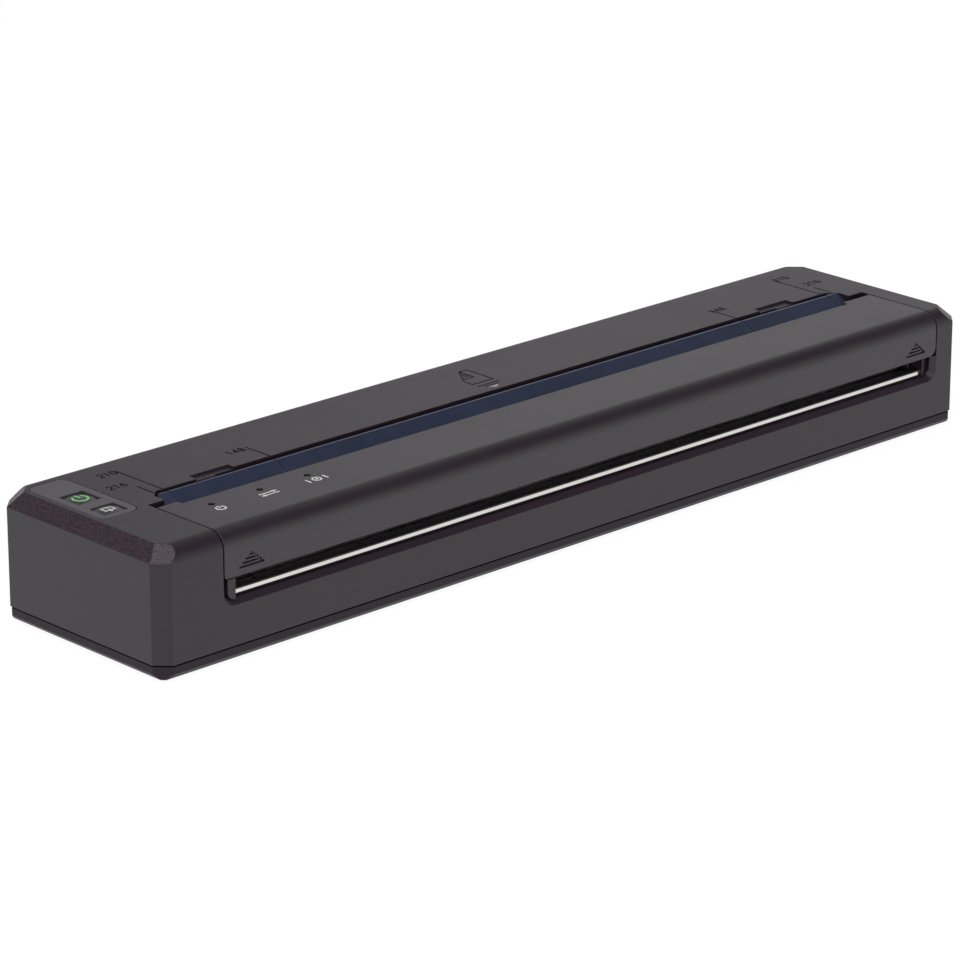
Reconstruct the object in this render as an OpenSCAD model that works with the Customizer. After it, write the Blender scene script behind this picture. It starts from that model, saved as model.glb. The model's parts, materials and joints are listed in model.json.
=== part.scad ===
// Portable thermal printer for A4 sheets: a flat bar-shaped case with a hinged release cover.
// Frame: X along the paper width, -Y is the front with the paper exit, +Z up, origin under the middle.

/* [Case] */
// Length of the case along the paper width
body_l = 255; // [250:1:300]
// Depth of the case, front to back
body_d = 55; // [54:0.5:62]
// Height of the case above the surface it stands on
body_h = 30; // [29.5:0.5:36]
// Thickness of the case walls
wall = 1.8; // [1.4:0.1:2]
// Height of the dark parting groove above the surface
parting_h = 3.9; // [3.5:0.1:5]
// Width of the parting groove
parting_gap = 0.45; // [0.3:0.05:0.5]
// Chamfer along the top edge of both ends
end_chamfer = 3.2; // [2.6:0.1:3.6]
// Chamfer down the four upright corners
corner_chamfer = 3.2; // [2.6:0.1:3.6]
// Cut of the top face at each corner
top_corner_cut = 2.6; // [2:0.1:3]
// Radius of the long top edge at the front
front_round = 4; // [3:0.1:4.5]
// Radius of the long top edge at the rear
rear_round = 2.6; // [2:0.1:3]
// Chamfer round the underside of the base
base_chamfer = 1.3; // [1:0.1:1.5]
// Thickness of the base floor
floor_t = 1.8; // [1.6:0.1:2.2]
// Height of the base rim inside the housing, above the groove
rim_h = 1.6; // [1:0.1:2]
// Thickness of the base rim
rim_t = 1.2; // [1:0.1:1.4]

/* [Feet and screws] */
// How far the rubber feet stand out of the base
foot_proud = 0.4; // [0.3:0.05:0.6]
// Diameter of a foot
foot_d = 7; // [6:0.5:8]
// Depth of the recess that holds a foot
foot_recess = 0.5; // [0.4:0.1:0.7]
// Foot centre from the end of the case
foot_end_inset = 17; // [15:0.5:20]
// Foot centre from the long side of the case
foot_side_inset = 9; // [8:0.5:10]
// Screw thread diameter
screw_d = 2; // [1.8:0.1:2.2]
// Case screw head diameter
screw_head_d = 4; // [3.6:0.1:4.4]
// Length of a case screw
screw_l = 10; // [8:0.5:12]
// Outer diameter of a screw boss
boss_d = 5.4; // [5:0.1:5.6]
// Clearance round a screw
screw_fit = 0.05; // [0.03:0.01:0.08]

/* [Release cover] */
// Cover's left end from the left end of the case
cover_left_inset = 17.8; // [17:0.1:20]
// Cover's right end from the right end of the case
cover_right_inset = 9.3; // [8.8:0.1:11]
// Rear edge of the cover from the front of the case
cover_depth = 20.5; // [20:0.1:21]
// How much further back the cover's two ears reach
ear_reach = 1.6; // [1.2:0.1:1.7]
// Length of the left ear
ear_left_l = 5.6; // [5:0.1:6]
// Length of the right ear
ear_right_l = 9.6; // [9:0.1:10]
// Height of the cover's front, from the top of the case down
cover_skirt = 10.5; // [10:0.1:10.7]
// Thickness of the cover
cover_wall = 1.8; // [1.4:0.1:2]
// Thickness of the cover's end walls
cover_end_t = 1.1; // [1:0.05:1.15]
// Seam between the cover and the housing
cover_seam = 0.4; // [0.3:0.05:0.5]
// Radius of the cover's lower right corner
cover_corner_r = 2; // [1.5:0.1:2.5]
// Radius of its lower left corner, which meets a post
cover_left_r = 0.6; // [0.4:0.1:0.8]

/* [Hinge] */
// Hinge axis from the front of the case
hinge_from_front = 26; // [25.8:0.1:26.2]
// Hinge axis below the top of the case
hinge_drop = 4.4; // [4.3:0.05:4.6]
// Hinge pin diameter
hinge_pin_d = 2.4; // [2:0.1:2.6]
// Radius of the boss round a hinge pin
hinge_boss_r = 2.1; // [2:0.05:2.3]
// Radial clearance of the hinge pins
hinge_fit = 0.05; // [0.03:0.01:0.08]

/* [Guide bar and paper slot] */
// Rear face of the guide bar from the front of the case
bar_from_front = 29.9; // [29.7:0.1:29.9]
// Slope of the guide bar's top face
bar_slope = 24; // [22:1:26]
// Wall of the guide bar
bar_wall = 1.2; // [1:0.1:1.4]
// Radius of the guide bar's rear top edge
bar_edge_r = 1.2; // [1:0.1:1.3]
// Corner facet at both ends of the bar's rear edge
bar_facet = 2.2; // [1.8:0.1:2.4]
// Left end of the bar from the cover's left end
bar_left_inset = 4.6; // [4.4:0.1:5]
// Right end of the bar from the cover's right end
bar_right_inset = 4.6; // [4.5:0.1:6]
// Paper slot between the bar and the rear deck
slot_w = 0.8; // [0.7:0.1:1]
// How much wider the slot is between the two notches
slot_extra = 0.6; // [0.3:0.1:0.8]
// Bevel under the deck's edge that leads the paper in
slot_lead = 0.7; // [0.6:0.1:0.9]
// Length of a finger notch in the rear deck
notch_l = 11.2; // [9:0.2:14]
// How far a finger notch reaches back
notch_d = 2.6; // [2:0.1:3]
// Depth of a finger notch below the deck
notch_deep = 0.5; // [0.3:0.1:0.8]
// Left notch centre from the middle of the paper
notch_left = 90.3; // [88:0.1:92]
// Right notch centre from the middle of the paper
notch_right = 89.9; // [88:0.1:92]

/* [Paper marks] */
// Middle of the paper path, right of the middle of the case
paper_mid = 4.3; // [4:0.1:5]
// Width of the common sheet size
sheet_a = 211; // [208:0.5:212]
// Width of the widest sheet size
sheet_b = 217; // [214:0.5:218]
// Width of the half sheet size
sheet_c = 150; // [146:0.5:152]
// Middle of the half sheet, right of the middle of the paper path
sheet_c_shift = 0.8; // [0:0.1:1.5]
// Width of an engraved line
mark_w = 0.45; // [0.3:0.05:0.5]
// Depth of an engraved line
mark_deep = 0.25; // [0.15:0.05:0.3]
// Length of the common sheet's lines
mark_a_l = 16; // [14:0.5:18]
// Length of the widest sheet's lines
mark_b_l = 5; // [4:0.5:7]
// Length of the half sheet's lines
mark_c_l = 9; // [8:0.5:11]
// Number of bars in the striped arrows on the cover
arrow_bars = 4; // [3:1:5]
// Height of a striped arrow
arrow_h = 3.2; // [2.6:0.1:3.6]
// Base width of a striped arrow
arrow_w = 7; // [6:0.1:8]
// Depth of the engraved bars of an arrow
arrow_deep = 0.5; // [0.3:0.1:0.7]
// Width of the page symbol in the middle of the deck
page_w = 6.6; // [5:0.2:8]
// Length of the page symbol
page_l = 9.1; // [7:0.1:10]
// Page symbol from the slot
page_gap = 6.7; // [6:0.1:8]

/* [Exit slot] */
// Front wall's lip under the exit slot, below the top of the case
lip_drop = 15.7; // [15.4:0.1:16]
// Bevel along the lip
lip_bevel = 1.2; // [1:0.1:1.4]
// Radius of the recess corners
recess_r = 2; // [1.5:0.1:3]
// Top of the exit guide's ledge, below the top of the case
ledge_drop = 14; // [13.7:0.1:14.2]
// Thickness of the ledge
ledge_t = 1.1; // [0.9:0.1:1.2]
// Depth of the ledge, front to back
ledge_d = 3.2; // [2.8:0.1:3.4]
// Height of the bright face of the tear bar
tear_h = 0.9; // [0.8:0.05:1.1]
// Thickness of the tear bar
tear_t = 0.5; // [0.4:0.05:0.55]
// Pitch of the cut-outs in the ledge
cutout_pitch = 35; // [30:1:45]
// Length of a cut-out in the ledge
cutout_l = 5; // [4:0.5:7]

/* [Platen] */
// Platen axis from the front of the case
platen_from_front = 12; // [11.8:0.1:12.2]
// Platen axis below the top of the case
platen_drop = 7.7; // [7.6:0.05:7.9]
// Outer diameter of the platen rubber
platen_d = 9.2; // [8.6:0.1:9.3]
// Shaft diameter
shaft_d = 4; // [3:0.1:4.2]
// Running clearance of shafts and bushes, on the radius
run_fit = 0.05; // [0.03:0.01:0.08]
// Outer diameter of the platen bushes
bush_d = 6.4; // [6:0.1:7]
// Gap between the platen and the print head, filled by the paper
nip_gap = 0.3; // [0.2:0.05:0.4]

/* [Side plates and gears] */
// Thickness of the side plates
plate_t = 0.8; // [0.8:0.05:1]
// Gap between moving pieces side by side
side_gap = 0.3; // [0.2:0.05:0.35]
// Gear module
gear_m = 0.5; // [0.5:0.01:0.5]
// Face width of the gears
gear_w = 1.8; // [1.5:0.1:1.8]
// Gear axle diameter
axle_d = 2; // [1.5:0.1:2.4]
// Motor diameter
motor_d = 16; // [15:0.1:16.4]
// Motor length
motor_l = 14; // [12:0.5:20]
// Motor shaft diameter
motor_shaft_d = 1.5; // [1.2:0.1:1.8]
// Tooth play on the pitch circle
backlash = 0.12; // [0.08:0.01:0.15]

/* [Print head] */
// Depth of the ceramic, front to back
head_d = 9; // [8:0.2:10]
// Thickness of the ceramic
head_t = 1; // [0.6:0.1:1.2]
// Thickness of the heatsink
sink_t = 2.2; // [1.8:0.1:2.6]
// Height of the springs between the beam and the heatsink
spring_h = 3; // [2.6:0.1:3.2]
// Thickness of the steel beam
beam_t = 0.8; // [0.8:0.05:1]
// Spring leaf thickness
leaf_t = 0.3; // [0.2:0.05:0.4]
// Number of springs under the head
spring_n = 4; // [2:1:6]

/* [Buttons] */
// Panel width, along the case
panel_w = 10.5; // [10:0.1:11]
// Panel length, front to back
panel_l = 26.8; // [26:0.1:27]
// Panel thickness
panel_t = 0.8; // [0.6:0.05:0.9]
// Corner radius of the panel
panel_r = 2.6; // [2:0.1:3]
// Panel's left edge from the left end of the case
panel_inset = 4.5; // [4.3:0.1:4.8]
// Panel's rear edge from the rear of the case
panel_rear = 4; // [3.8:0.1:4.4]
// Power button length, front to back
power_l = 6.5; // [6:0.1:7]
// Feed button length, front to back
feed_l = 5.1; // [4.8:0.1:5.4]
// Width of both buttons
button_w = 6.3; // [6:0.1:6.6]
// Power button centre from the rear of the case
power_from_rear = 16.6; // [16:0.1:17]
// Feed button centre from the rear of the case
feed_from_rear = 26.3; // [25.8:0.1:26.6]
// Travel of the buttons
button_travel = 0.5; // [0.3:0.05:0.5]
// Gap round the buttons
button_gap = 0.15; // [0.1:0.01:0.2]
// Height of the crown of a button
crown = 0.4; // [0.2:0.05:0.5]
// Seam round the button panel
panel_seam = 0.2; // [0.1:0.05:0.25]

/* [Electronics] */
// Thickness of the circuit boards
board_t = 1.2; // [1:0.1:1.6]
// Height of the main board above the base floor
board_lift = 2.4; // [2.2:0.1:2.6]
// Main board depth, front to back
board_d = 26; // [22:0.5:26]
// Status light diameter
light_d = 1.6; // [1.2:0.1:1.8]
// Pitch of the status lights
light_pitch = 13.7; // [12:0.1:14]
// Status lights from the front of the case
light_from_front = 15.9; // [15.7:0.1:16.1]
// First status light from the cover's left end
light_inset = 9.9; // [9.5:0.1:11]
// How far the status lights lie below the cover's surface
light_sunk = 0.3; // [0.1:0.1:0.5]

/* [Battery] */
// Length of the battery case beyond its two cells
battery_ends = 12; // [12:0.5:16]
// Gap between the battery case and the rear wall
battery_rear_gap = 0.6; // [0.4:0.1:0.7]
// Wall of the battery case beside a cell
cell_side_wall = 0.4; // [0.3:0.05:0.5]
// Wall of the battery case above and below a cell
cell_roof = 0.7; // [0.6:0.1:0.9]
// Cell diameter
cell_d = 18.2; // [18:0.1:18.3]
// Cell length
cell_l = 65; // [60:0.5:66]
// Width of the door's sliding tongues
tongue_w = 1.5; // [1.2:0.1:1.8]
// Running gap of the door
door_gap = 0.25; // [0.2:0.05:0.3]

/* [Ports] */
// USB socket width
usb_w = 9; // [8.9:0.05:9.1]
// USB socket height
usb_h = 3.3; // [3.2:0.05:3.4]
// USB socket depth
usb_d = 7.4; // [7:0.1:8]
// DC inlet body width
dc_w = 9; // [8.5:0.1:9.5]
// DC inlet body height
dc_h = 6.8; // [6.6:0.1:7.5]
// DC inlet depth
dc_d = 10.5; // [9:0.1:11]
// DC inlet hole diameter
dc_bore = 5.5; // [5:0.1:5.6]
// USB socket centre from the left end of the case
usb_inset = 34; // [32:0.5:36]
// DC inlet centre from the left end of the case
dc_inset = 19; // [18:0.5:20]

/* [Hidden] */
$fn = 48;
slip = 0.1; // seating clearance between pieces of one body
left_x = -body_l / 2;
right_x = body_l / 2;
front_y = -body_d / 2;
rear_y = body_d / 2;
top_z = body_h;
floor_z = foot_proud;
deck_z = top_z - wall; // underside of the top wall
tray_z = floor_z + floor_t; // inner face of the base floor
groove_lo = parting_h - parting_gap;
cover_low = top_z - cover_skirt;
lip_h = top_z - lip_drop;
ledge_h = top_z - ledge_drop;

cover_x0 = left_x + cover_left_inset;
cover_x1 = right_x - cover_right_inset;
cover_rear = front_y + cover_depth;
ear_rear = cover_rear + ear_reach;
hinge_y = front_y + hinge_from_front;
hinge_z = top_z - hinge_drop;
bar_rear = front_y + bar_from_front;
bar_end_gap = 0.3; // between the bar and the ends of the slot
bar_x0 = cover_x0 + bar_left_inset;
bar_x1 = cover_x1 - bar_right_inset;
deck_edge = bar_rear + slot_w;

platen_y = front_y + platen_from_front;
platen_z = top_z - platen_drop;
platen_r = platen_d / 2;
head_top = platen_z - platen_r - nip_gap;

end_gap = 0.4; // between a cover end wall and the plate beside it
post_top = cover_low - 0.3;
plate_left_x = cover_x0 + cover_end_t + end_gap;
plate_right_x = cover_x1 - cover_end_t - side_gap - gear_w - side_gap - plate_t;
gear_a_x = plate_right_x + plate_t + side_gap; // layer of the platen gear
post_x = [cover_x0 + 3.05, plate_right_x + 1.2]; // inner sides of the posts beside the exit slot
gear_b_x = gear_a_x + gear_w + side_gap; // layer of the motor pinion
rubber_x0 = plate_left_x + plate_t + 2.2;
rubber_x1 = plate_right_x - 1.4;

// gear train in the Y-Z plane: platen - idler - small wheel | large wheel - pinion
platen_teeth = 20;
idler_teeth = 30;
small_teeth = 16;
large_teeth = 36;
pinion_teeth = 14;
pressure_angle = 25;
function centre_gap(a, b) = gear_m * (a + b) / 2;
motor_y = deck_edge + 2.7 + motor_d / 2;
motor_z = top_z - 17.2;
idler_dir = -63.4;
idler_y = platen_y + centre_gap(platen_teeth, idler_teeth) * cos(idler_dir);
idler_z = platen_z + centre_gap(platen_teeth, idler_teeth) * sin(idler_dir);
span = norm([motor_y - idler_y, motor_z - idler_z]);
span_dir = atan2(motor_z - idler_z, motor_y - idler_y);
arm_a = centre_gap(idler_teeth, small_teeth);
arm_b = centre_gap(large_teeth, pinion_teeth);
bend = acos((arm_a * arm_a + span * span - arm_b * arm_b) / (2 * arm_a * span));
wheel_y = idler_y + arm_a * cos(span_dir + bend);
wheel_z = idler_z + arm_a * sin(span_dir + bend);
// tooth phases, so that every pair meshes tooth in gap
function meshed(dir, na, pa, nb) = dir + 180 + (na * (dir - pa) - 180) / nb;
platen_phase = 0;
idler_phase = meshed(idler_dir, platen_teeth, platen_phase, idler_teeth);
wheel_dir = span_dir + bend;
wheel_phase = meshed(wheel_dir, idler_teeth, idler_phase, small_teeth);
pinion_dir = atan2(motor_z - wheel_z, motor_y - wheel_y);
pinion_phase = meshed(pinion_dir, large_teeth, wheel_phase, pinion_teeth);

panel_x0 = left_x + panel_inset;
panel_y0 = rear_y - panel_rear - panel_l;
button_x = panel_x0 + panel_w / 2;
power_y = rear_y - power_from_rear;
feed_y = rear_y - feed_from_rear;
flange_t = 0.8; // collar that keeps a button in
flange_lip = 0.6;
switch_h = 3.5;
plunger_h = 0.8;
stem_z = deck_z - 0.2 - flange_t - 1.1; // lower end of a button's stem
switch_board_z = stem_z - button_travel - 0.1 - plunger_h - switch_h - board_t;
button_post_d = 3.4;
post_clear = flange_lip + 0.3 + button_post_d / 2; // from a button's edge to its post
button_post_y = [feed_y - feed_l / 2 - post_clear, power_y + power_l / 2 + post_clear];

chute_y = deck_edge + 0.9; // front face of the rear paper guide
chute_t = 1.2;
usb_x = left_x + usb_inset;
dc_x = left_x + dc_inset;
battery_l = 2 * cell_l + battery_ends;
battery_d = cell_d + 2 * cell_side_wall;
battery_h = cell_d + 2 * cell_roof;
battery_y0 = rear_y - wall - battery_rear_gap - battery_d;
battery_mid = (usb_x + usb_w / 2 + plate_right_x - motor_l) / 2; // between the ports and the motor
battery_x0 = battery_mid - battery_l / 2;
battery_z0 = tray_z + 0.4;
door_x0 = battery_x0 - 3;
door_x1 = battery_x0 + battery_l + 3;
door_y0 = battery_y0 - 0.8;
door_low_t = 0.8; // outer layer of the door
io_z = tray_z + 3.2; // underside of the I/O board
io_top = io_z + board_t;
main_z = tray_z + board_lift;
main_x0 = plate_left_x + 3;
main_x1 = plate_right_x - 4;
main_y0 = front_y + wall + rim_t + 0.6;
parts_z = main_z + board_t + 0.02; // where the parts on the main board stand
processor_w = 14;
processor_from_right = 76;
chip_h = 1.1;
// chips as [from the board's left or right end, from its front, length, depth]
chips_left = [[22, 14, 9, 5], [46, 5, 10, 8], [64, 12, 8, 6]];
chips_right = [[52, 6, 9, 12], [32, 13.5, 7, 7]];
capacitor_d = 5.6;
capacitor_pitch = 8;
capacitor_x = -28;
wireless_l = 18;
wireless_d = 11.5;
beam_x0 = plate_left_x + plate_t;
beam_x1 = plate_right_x;
sink_z = head_top - head_t - sink_t;
beam_h = sink_z - spring_h - beam_t; // underside of the beam
head_x0 = rubber_x0 + 1;
head_x1 = rubber_x1 - 1;
screw_inset = wall + boss_d / 2 + 0.9; // case screws from the ends
screw_front = front_y + 6.4;
screw_rear = rear_y - 6;
door_boss_gap = tongue_w + door_gap + 0.3; // from the door to the screws beside it
case_screws_xy = [
    [left_x + screw_inset, screw_front], [right_x - screw_inset, screw_front],
    [left_x + screw_inset, screw_rear], [right_x - screw_inset, screw_rear],
    [door_x0 - door_boss_gap - boss_d / 2, screw_rear],
    [door_x1 + door_boss_gap + boss_d / 2, screw_rear]
];
feet_xy = [for (sx = [-1, 1]) for (sy = [-1, 1])
    [sx * (body_l / 2 - foot_end_inset), sy * (body_d / 2 - foot_side_inset)]];
boss_low = parting_h + rim_h + 0.3; // meeting height of the base posts and the housing bosses

housing_c = [0.29, 0.28, 0.29];
base_c = [0.24, 0.23, 0.24];
cover_c = [0.31, 0.30, 0.31];
blue_c = [0.17, 0.20, 0.33];
dark_c = [0.10, 0.10, 0.11];
panel_c = [0.40, 0.39, 0.40];
steel_c = [0.72, 0.72, 0.70];
bright_c = [0.86, 0.86, 0.83];
rubber_c = [0.08, 0.08, 0.09];
gear_c = [0.90, 0.90, 0.86];
board_c = [0.10, 0.35, 0.20];
chip_c = [0.07, 0.07, 0.08];
gold_c = [0.80, 0.65, 0.30];

// ---------- shared shapes ----------

// A box between two corners
module span_box(a, b) {
    translate(a) cube(b - a);
}

// Extrude a Y-Z profile along X
module along_x(x0, x1) {
    translate([x0, 0, 0]) rotate([90, 0, 90]) linear_extrude(x1 - x0) children();
}

// Extrude an X-Z profile along Y, from y0 to y1
module along_y(y0, y1) {
    translate([0, y1, 0]) rotate([90, 0, 0]) linear_extrude(y1 - y0) children();
}

// A rod along X
module rod_x(x0, x1, y, z, d) {
    translate([x0, y, z]) rotate([0, 90, 0]) cylinder(d = d, h = x1 - x0);
}

// Round-cornered plate, size [x, y], corner radius r
module round_plate(size, r, h) {
    linear_extrude(h) {
        translate([r, 0]) square([size.x - 2 * r, size.y]);
        translate([0, r]) square([size.x, size.y - 2 * r]);
        for (x = [r, size.x - r]) for (y = [r, size.y - r]) translate([x, y]) circle(r = r);
    }
}

// Case outline seen from the end: flat sides, round long top edges; g insets every face
module side_profile(g, z0) {
    h = top_z - g;
    rf = front_round - g;
    rr = rear_round - g < 0.4 ? 0.4 : rear_round - g;
    translate([front_y + g, z0]) square([body_d - 2 * g, h - rf - z0]);
    translate([front_y + g + rf, z0]) square([body_d - 2 * g - rf - rr, h - z0]);
    translate([front_y + g + rf, z0]) square([body_d - 2 * g - rf, h - rr - z0]);
    translate([front_y + g + rf, h - rf]) circle(r = rf);
    translate([rear_y - g - rr, h - rr]) circle(r = rr);
}

// Chamfered outline: half width w, chamfer leg in plan cw and in height ch at the top
module chamfered_profile(w, z0, z1, cw, ch) {
    polygon([[-w, z0], [w, z0], [w, z1 - ch], [w - cw, z1], [-w + cw, z1], [-w, z1 - ch]]);
}

// Solid case form above the groove; g insets every face
module case_form(g, z0) {
    corner = (body_l / 2 + body_d / 2 - corner_chamfer) / sqrt(2) - g;
    corner_top = (body_l / 2 - end_chamfer + body_d / 2 - rear_round - top_corner_cut) / sqrt(2) - g;
    intersection() {
        along_x(left_x + g, right_x - g) side_profile(g, z0);
        along_y(front_y, rear_y)
            chamfered_profile(body_l / 2 - g, z0, top_z - g, end_chamfer, end_chamfer);
        rotate([0, 0, 45]) along_y(-body_l, body_l)
            chamfered_profile(corner, z0, top_z - g, corner - corner_top, end_chamfer);
        rotate([0, 0, -45]) along_y(-body_l, body_l)
            chamfered_profile(corner, z0, top_z - g, corner - corner_top, end_chamfer);
    }
}

// Solid base form below the groove: chamfered underside, the four corners nearly upright
module base_form(g, z0, z1) {
    c = base_chamfer;
    cc = base_chamfer / 4;
    corner = (body_l / 2 + body_d / 2 - corner_chamfer) / sqrt(2) - g;
    intersection() {
        along_x(left_x + g, right_x - g) base_profile(body_d / 2 - g, z0, z1, c);
        along_y(front_y, rear_y) base_profile(body_l / 2 - g, z0, z1, c);
        rotate([0, 0, 45]) along_y(-body_l, body_l) base_profile(corner, z0, z1, cc);
        rotate([0, 0, -45]) along_y(-body_l, body_l) base_profile(corner, z0, z1, cc);
    }
}

module base_profile(w, z0, z1, c) {
    polygon([[-w + c, z0], [w - c, z0], [w, z0 + c], [w, z1], [-w, z1], [-w, z0 + c]]);
}

// Involute spur gear outline
function involute(a) = tan(a) - a * PI / 180;
function tooth_half(n, rho) =
    let (r = gear_m * n / 2, rb = r * cos(pressure_angle))
    (PI / (2 * n) - backlash / (4 * r) + involute(pressure_angle)
        - involute(acos(min(1, rb / rho)))) * 180 / PI;
function gear_outline(n, phase) =
    let (
        r = gear_m * n / 2,
        tip = r + 0.9 * gear_m,
        root = r - 1.2 * gear_m,
        low = max(r * cos(pressure_angle), root),
        steps = 3,
        flank = [for (i = [0 : steps]) low + (tip - low) * i / steps]
    )
    [for (k = [0 : n - 1]) let (c = phase + k * 360 / n) each concat(
        [root * dir2(c - tooth_half(n, low) - 1)],
        [for (i = [0 : steps]) flank[i] * dir2(c - tooth_half(n, flank[i]))],
        [for (i = [steps : -1 : 0]) flank[i] * dir2(c + tooth_half(n, flank[i]))],
        [root * dir2(c + tooth_half(n, low) + 1)])];
function dir2(a) = [cos(a), sin(a)];

module spur(n, phase, y, z, x0, w, bore) {
    difference() {
        along_x(x0, x0 + w) translate([y, z]) polygon(gear_outline(n, phase));
        rod_x(x0 - 1, x0 + w + 1, y, z, bore);
    }
}

// ---------- case ----------

module base_shell() {
    color(base_c) difference() {
        union() {
            difference() {
                base_form(0.3, floor_z, groove_lo);
                base_form(wall + 0.3, tray_z, groove_lo + 1);
            }
            // rim that fills the groove from inside
            difference() {
                rim_block(wall + slip, groove_lo - 0.5, parting_h + rim_h);
                rim_block(wall + slip + rim_t, tray_z, parting_h + rim_h + 1);
            }
            for (p = case_screws_xy)
                translate([p.x, p.y, floor_z + 1]) cylinder(d = boss_d, h = boss_low - floor_z - 1);
            for (x = [main_x0 + 8, main_x1 - 8]) for (y = [main_y0 + 4, main_y0 + board_d - 4])
                translate([x, y, floor_z + 1]) cylinder(d = 4, h = main_z - floor_z - 1);
            for (x = [dc_x - 6, usb_x + 7])
                translate([x, rear_y - 15.5, floor_z + 1]) cylinder(d = 4, h = io_z - floor_z - 1);
            plate_seats();
            // walls that hold the battery end to end
            for (x = [door_x0 - 2.4, door_x1 + 1.2])
                span_box([x, door_y0, floor_z + 1], [x + 1.2, screw_rear - boss_d / 2 - 0.3, tray_z + 10]);
        }
        for (p = case_screws_xy) translate([p.x, p.y, floor_z - 1]) {
            cylinder(d = screw_d + 2 * screw_fit, h = boss_low + 2);
            cylinder(d = screw_head_d + 0.4, h = 2.6);
        }
        for (p = feet_xy) translate([p.x, p.y, floor_z - 1])
            cylinder(d = foot_d + 0.2, h = 1 + foot_recess);
        // battery door opening: narrow outer layer, wide inner layer
        span_box([door_x0 - door_gap, door_y0 - door_gap, floor_z - 1],
            [door_x1 + door_gap, rear_y + 1, parting_h + rim_h + 1]);
        span_box([door_x0 - tongue_w - door_gap, door_y0 - door_gap, floor_z + door_low_t],
            [door_x1 + tongue_w + door_gap, rear_y + 1, tray_z]);
    }
}

// Block at inset g from the case walls
module rim_block(g, z0, z1) {
    corner = (body_l / 2 + body_d / 2 - corner_chamfer) / sqrt(2) - g;
    intersection() {
        span_box([left_x + g, front_y + g, z0], [right_x - g, rear_y - g, z1]);
        rotate([0, 0, 45]) span_box([-corner, -body_l, z0], [corner, body_l, z1]);
        rotate([0, 0, -45]) span_box([-corner, -body_l, z0], [corner, body_l, z1]);
    }
}

// Ribs of the base that carry the two side plates
module plate_seats() {
    for (x = [plate_left_x, plate_right_x])
        for (y = [front_y + 5, hinge_y + 1])
            span_box([x - 1.2, y, floor_z + 1], [x + plate_t + 1.2, y + 3, tray_z + 0.6]);
}

// Space for the cover, the guide bar and the slot, cut out of the housing
module housing_openings() {
    s = cover_seam;
    b = lip_bevel;
    x0 = cover_x0 - s;
    x1 = cover_x1 + s;
    round_x = [x0 + b + recess_r, x1 - b - recess_r];
    // front and top opening of the cover
    span_box([x0, front_y - 1, cover_low - s], [x1, hinge_y - 1.1, top_z + 1]);
    // recess under the cover with round lower corners
    along_y(front_y - 1, front_y + wall + 0.3) recess_outline(x0 + b, x1 - b);
    // bevel along the lip, round its corners and up its ends
    along_x(round_x[0], round_x[1])
        polygon([[front_y - 1, lip_h - b - 1], [front_y - 1, lip_h + 1], [front_y + b + 1, lip_h + 1]]);
    for (x = round_x) translate([x, front_y - 0.1, lip_h + recess_r]) rotate([-90, 0, 0])
        cylinder(r1 = recess_r + b + 0.1, r2 = recess_r, h = b + 0.1);
    translate([0, 0, lip_h + recess_r]) linear_extrude(cover_low - lip_h - recess_r) {
        polygon([[x0 - 1, front_y - 1], [x0 + b + 0.1, front_y + b + 0.1], [x0 + b + 0.1, front_y - 1]]);
        polygon([[x1 + 1, front_y - 1], [x1 - b - 0.1, front_y + b + 0.1], [x1 - b - 0.1, front_y - 1]]);
    }
    // paper slot, wider between the notches, its corners cut off beside the bar's facets
    notch_x = [paper_mid - notch_left, paper_mid + notch_right];
    difference() {
        slot_cut(bar_x0 - bar_end_gap, bar_x1 + bar_end_gap, deck_edge);
        for (x = [bar_x0 - bar_end_gap, bar_x1 + bar_end_gap])
            corner_prism(x, deck_edge, bar_facet + 0.15, deck_z + slot_lead);
    }
    slot_cut(notch_x[0], notch_x[1], deck_edge + slot_extra);
    for (x = notch_x) span_box([x - notch_l / 2, cover_rear, top_z - notch_deep],
        [x + notch_l / 2, deck_edge + notch_d, top_z + 1]);
}

// Upright prism that takes reach off both sides of a corner at x, y
module corner_prism(x, y, reach, z0) {
    h = reach / sqrt(2);
    translate([x, y, 0]) rotate([0, 0, 45]) span_box([-h, -h, z0], [h, h, top_z + 2]);
}

// Slot in the deck up to y1, with a bevel underneath
module slot_cut(x0, x1, y1) {
    along_x(x0, x1) polygon([[cover_rear, deck_z - 1], [y1 + slot_lead, deck_z - 1],
        [y1 + slot_lead, deck_z], [y1, deck_z + slot_lead], [y1, top_z + 1], [cover_rear, top_z + 1]]);
}

module recess_outline(x0, x1) {
    translate([x0 + recess_r, lip_h]) square([x1 - x0 - 2 * recess_r, cover_low - lip_h]);
    translate([x0, lip_h + recess_r]) square([x1 - x0, cover_low - lip_h - recess_r]);
    for (x = [x0 + recess_r, x1 - recess_r]) translate([x, lip_h + recess_r]) circle(r = recess_r);
}

// Engraved sheet-width lines on the rear deck
module sheet_marks() {
    y0 = deck_edge - 1;
    for (s = [-1, 1]) {
        mark_line(paper_mid + s * sheet_a / 2, y0, deck_edge + mark_a_l);
        mark_line(paper_mid + sheet_c_shift + s * sheet_c / 2, y0, deck_edge + mark_c_l);
    }
    mark_line(paper_mid - sheet_b / 2, y0, deck_edge + mark_b_l);
    mark_line(paper_mid + sheet_b / 2, y0, deck_edge + mark_b_l);
    page_mark(paper_mid - page_w / 2, deck_edge + page_gap);
}

module mark_line(x, y0, y1) {
    span_box([x - mark_w / 2, y0, top_z - mark_deep], [x + mark_w / 2, y1, top_z + 1]);
}

// Engraved stroke from point a to point b on the deck
module stroke(a, b) {
    d = b - a;
    translate([a.x, a.y, top_z - mark_deep]) rotate([0, 0, atan2(d.y, d.x)])
        span_box([-mark_w / 2, -mark_w / 2, 0], [norm(d) + mark_w / 2, mark_w / 2, 1]);
}

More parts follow.
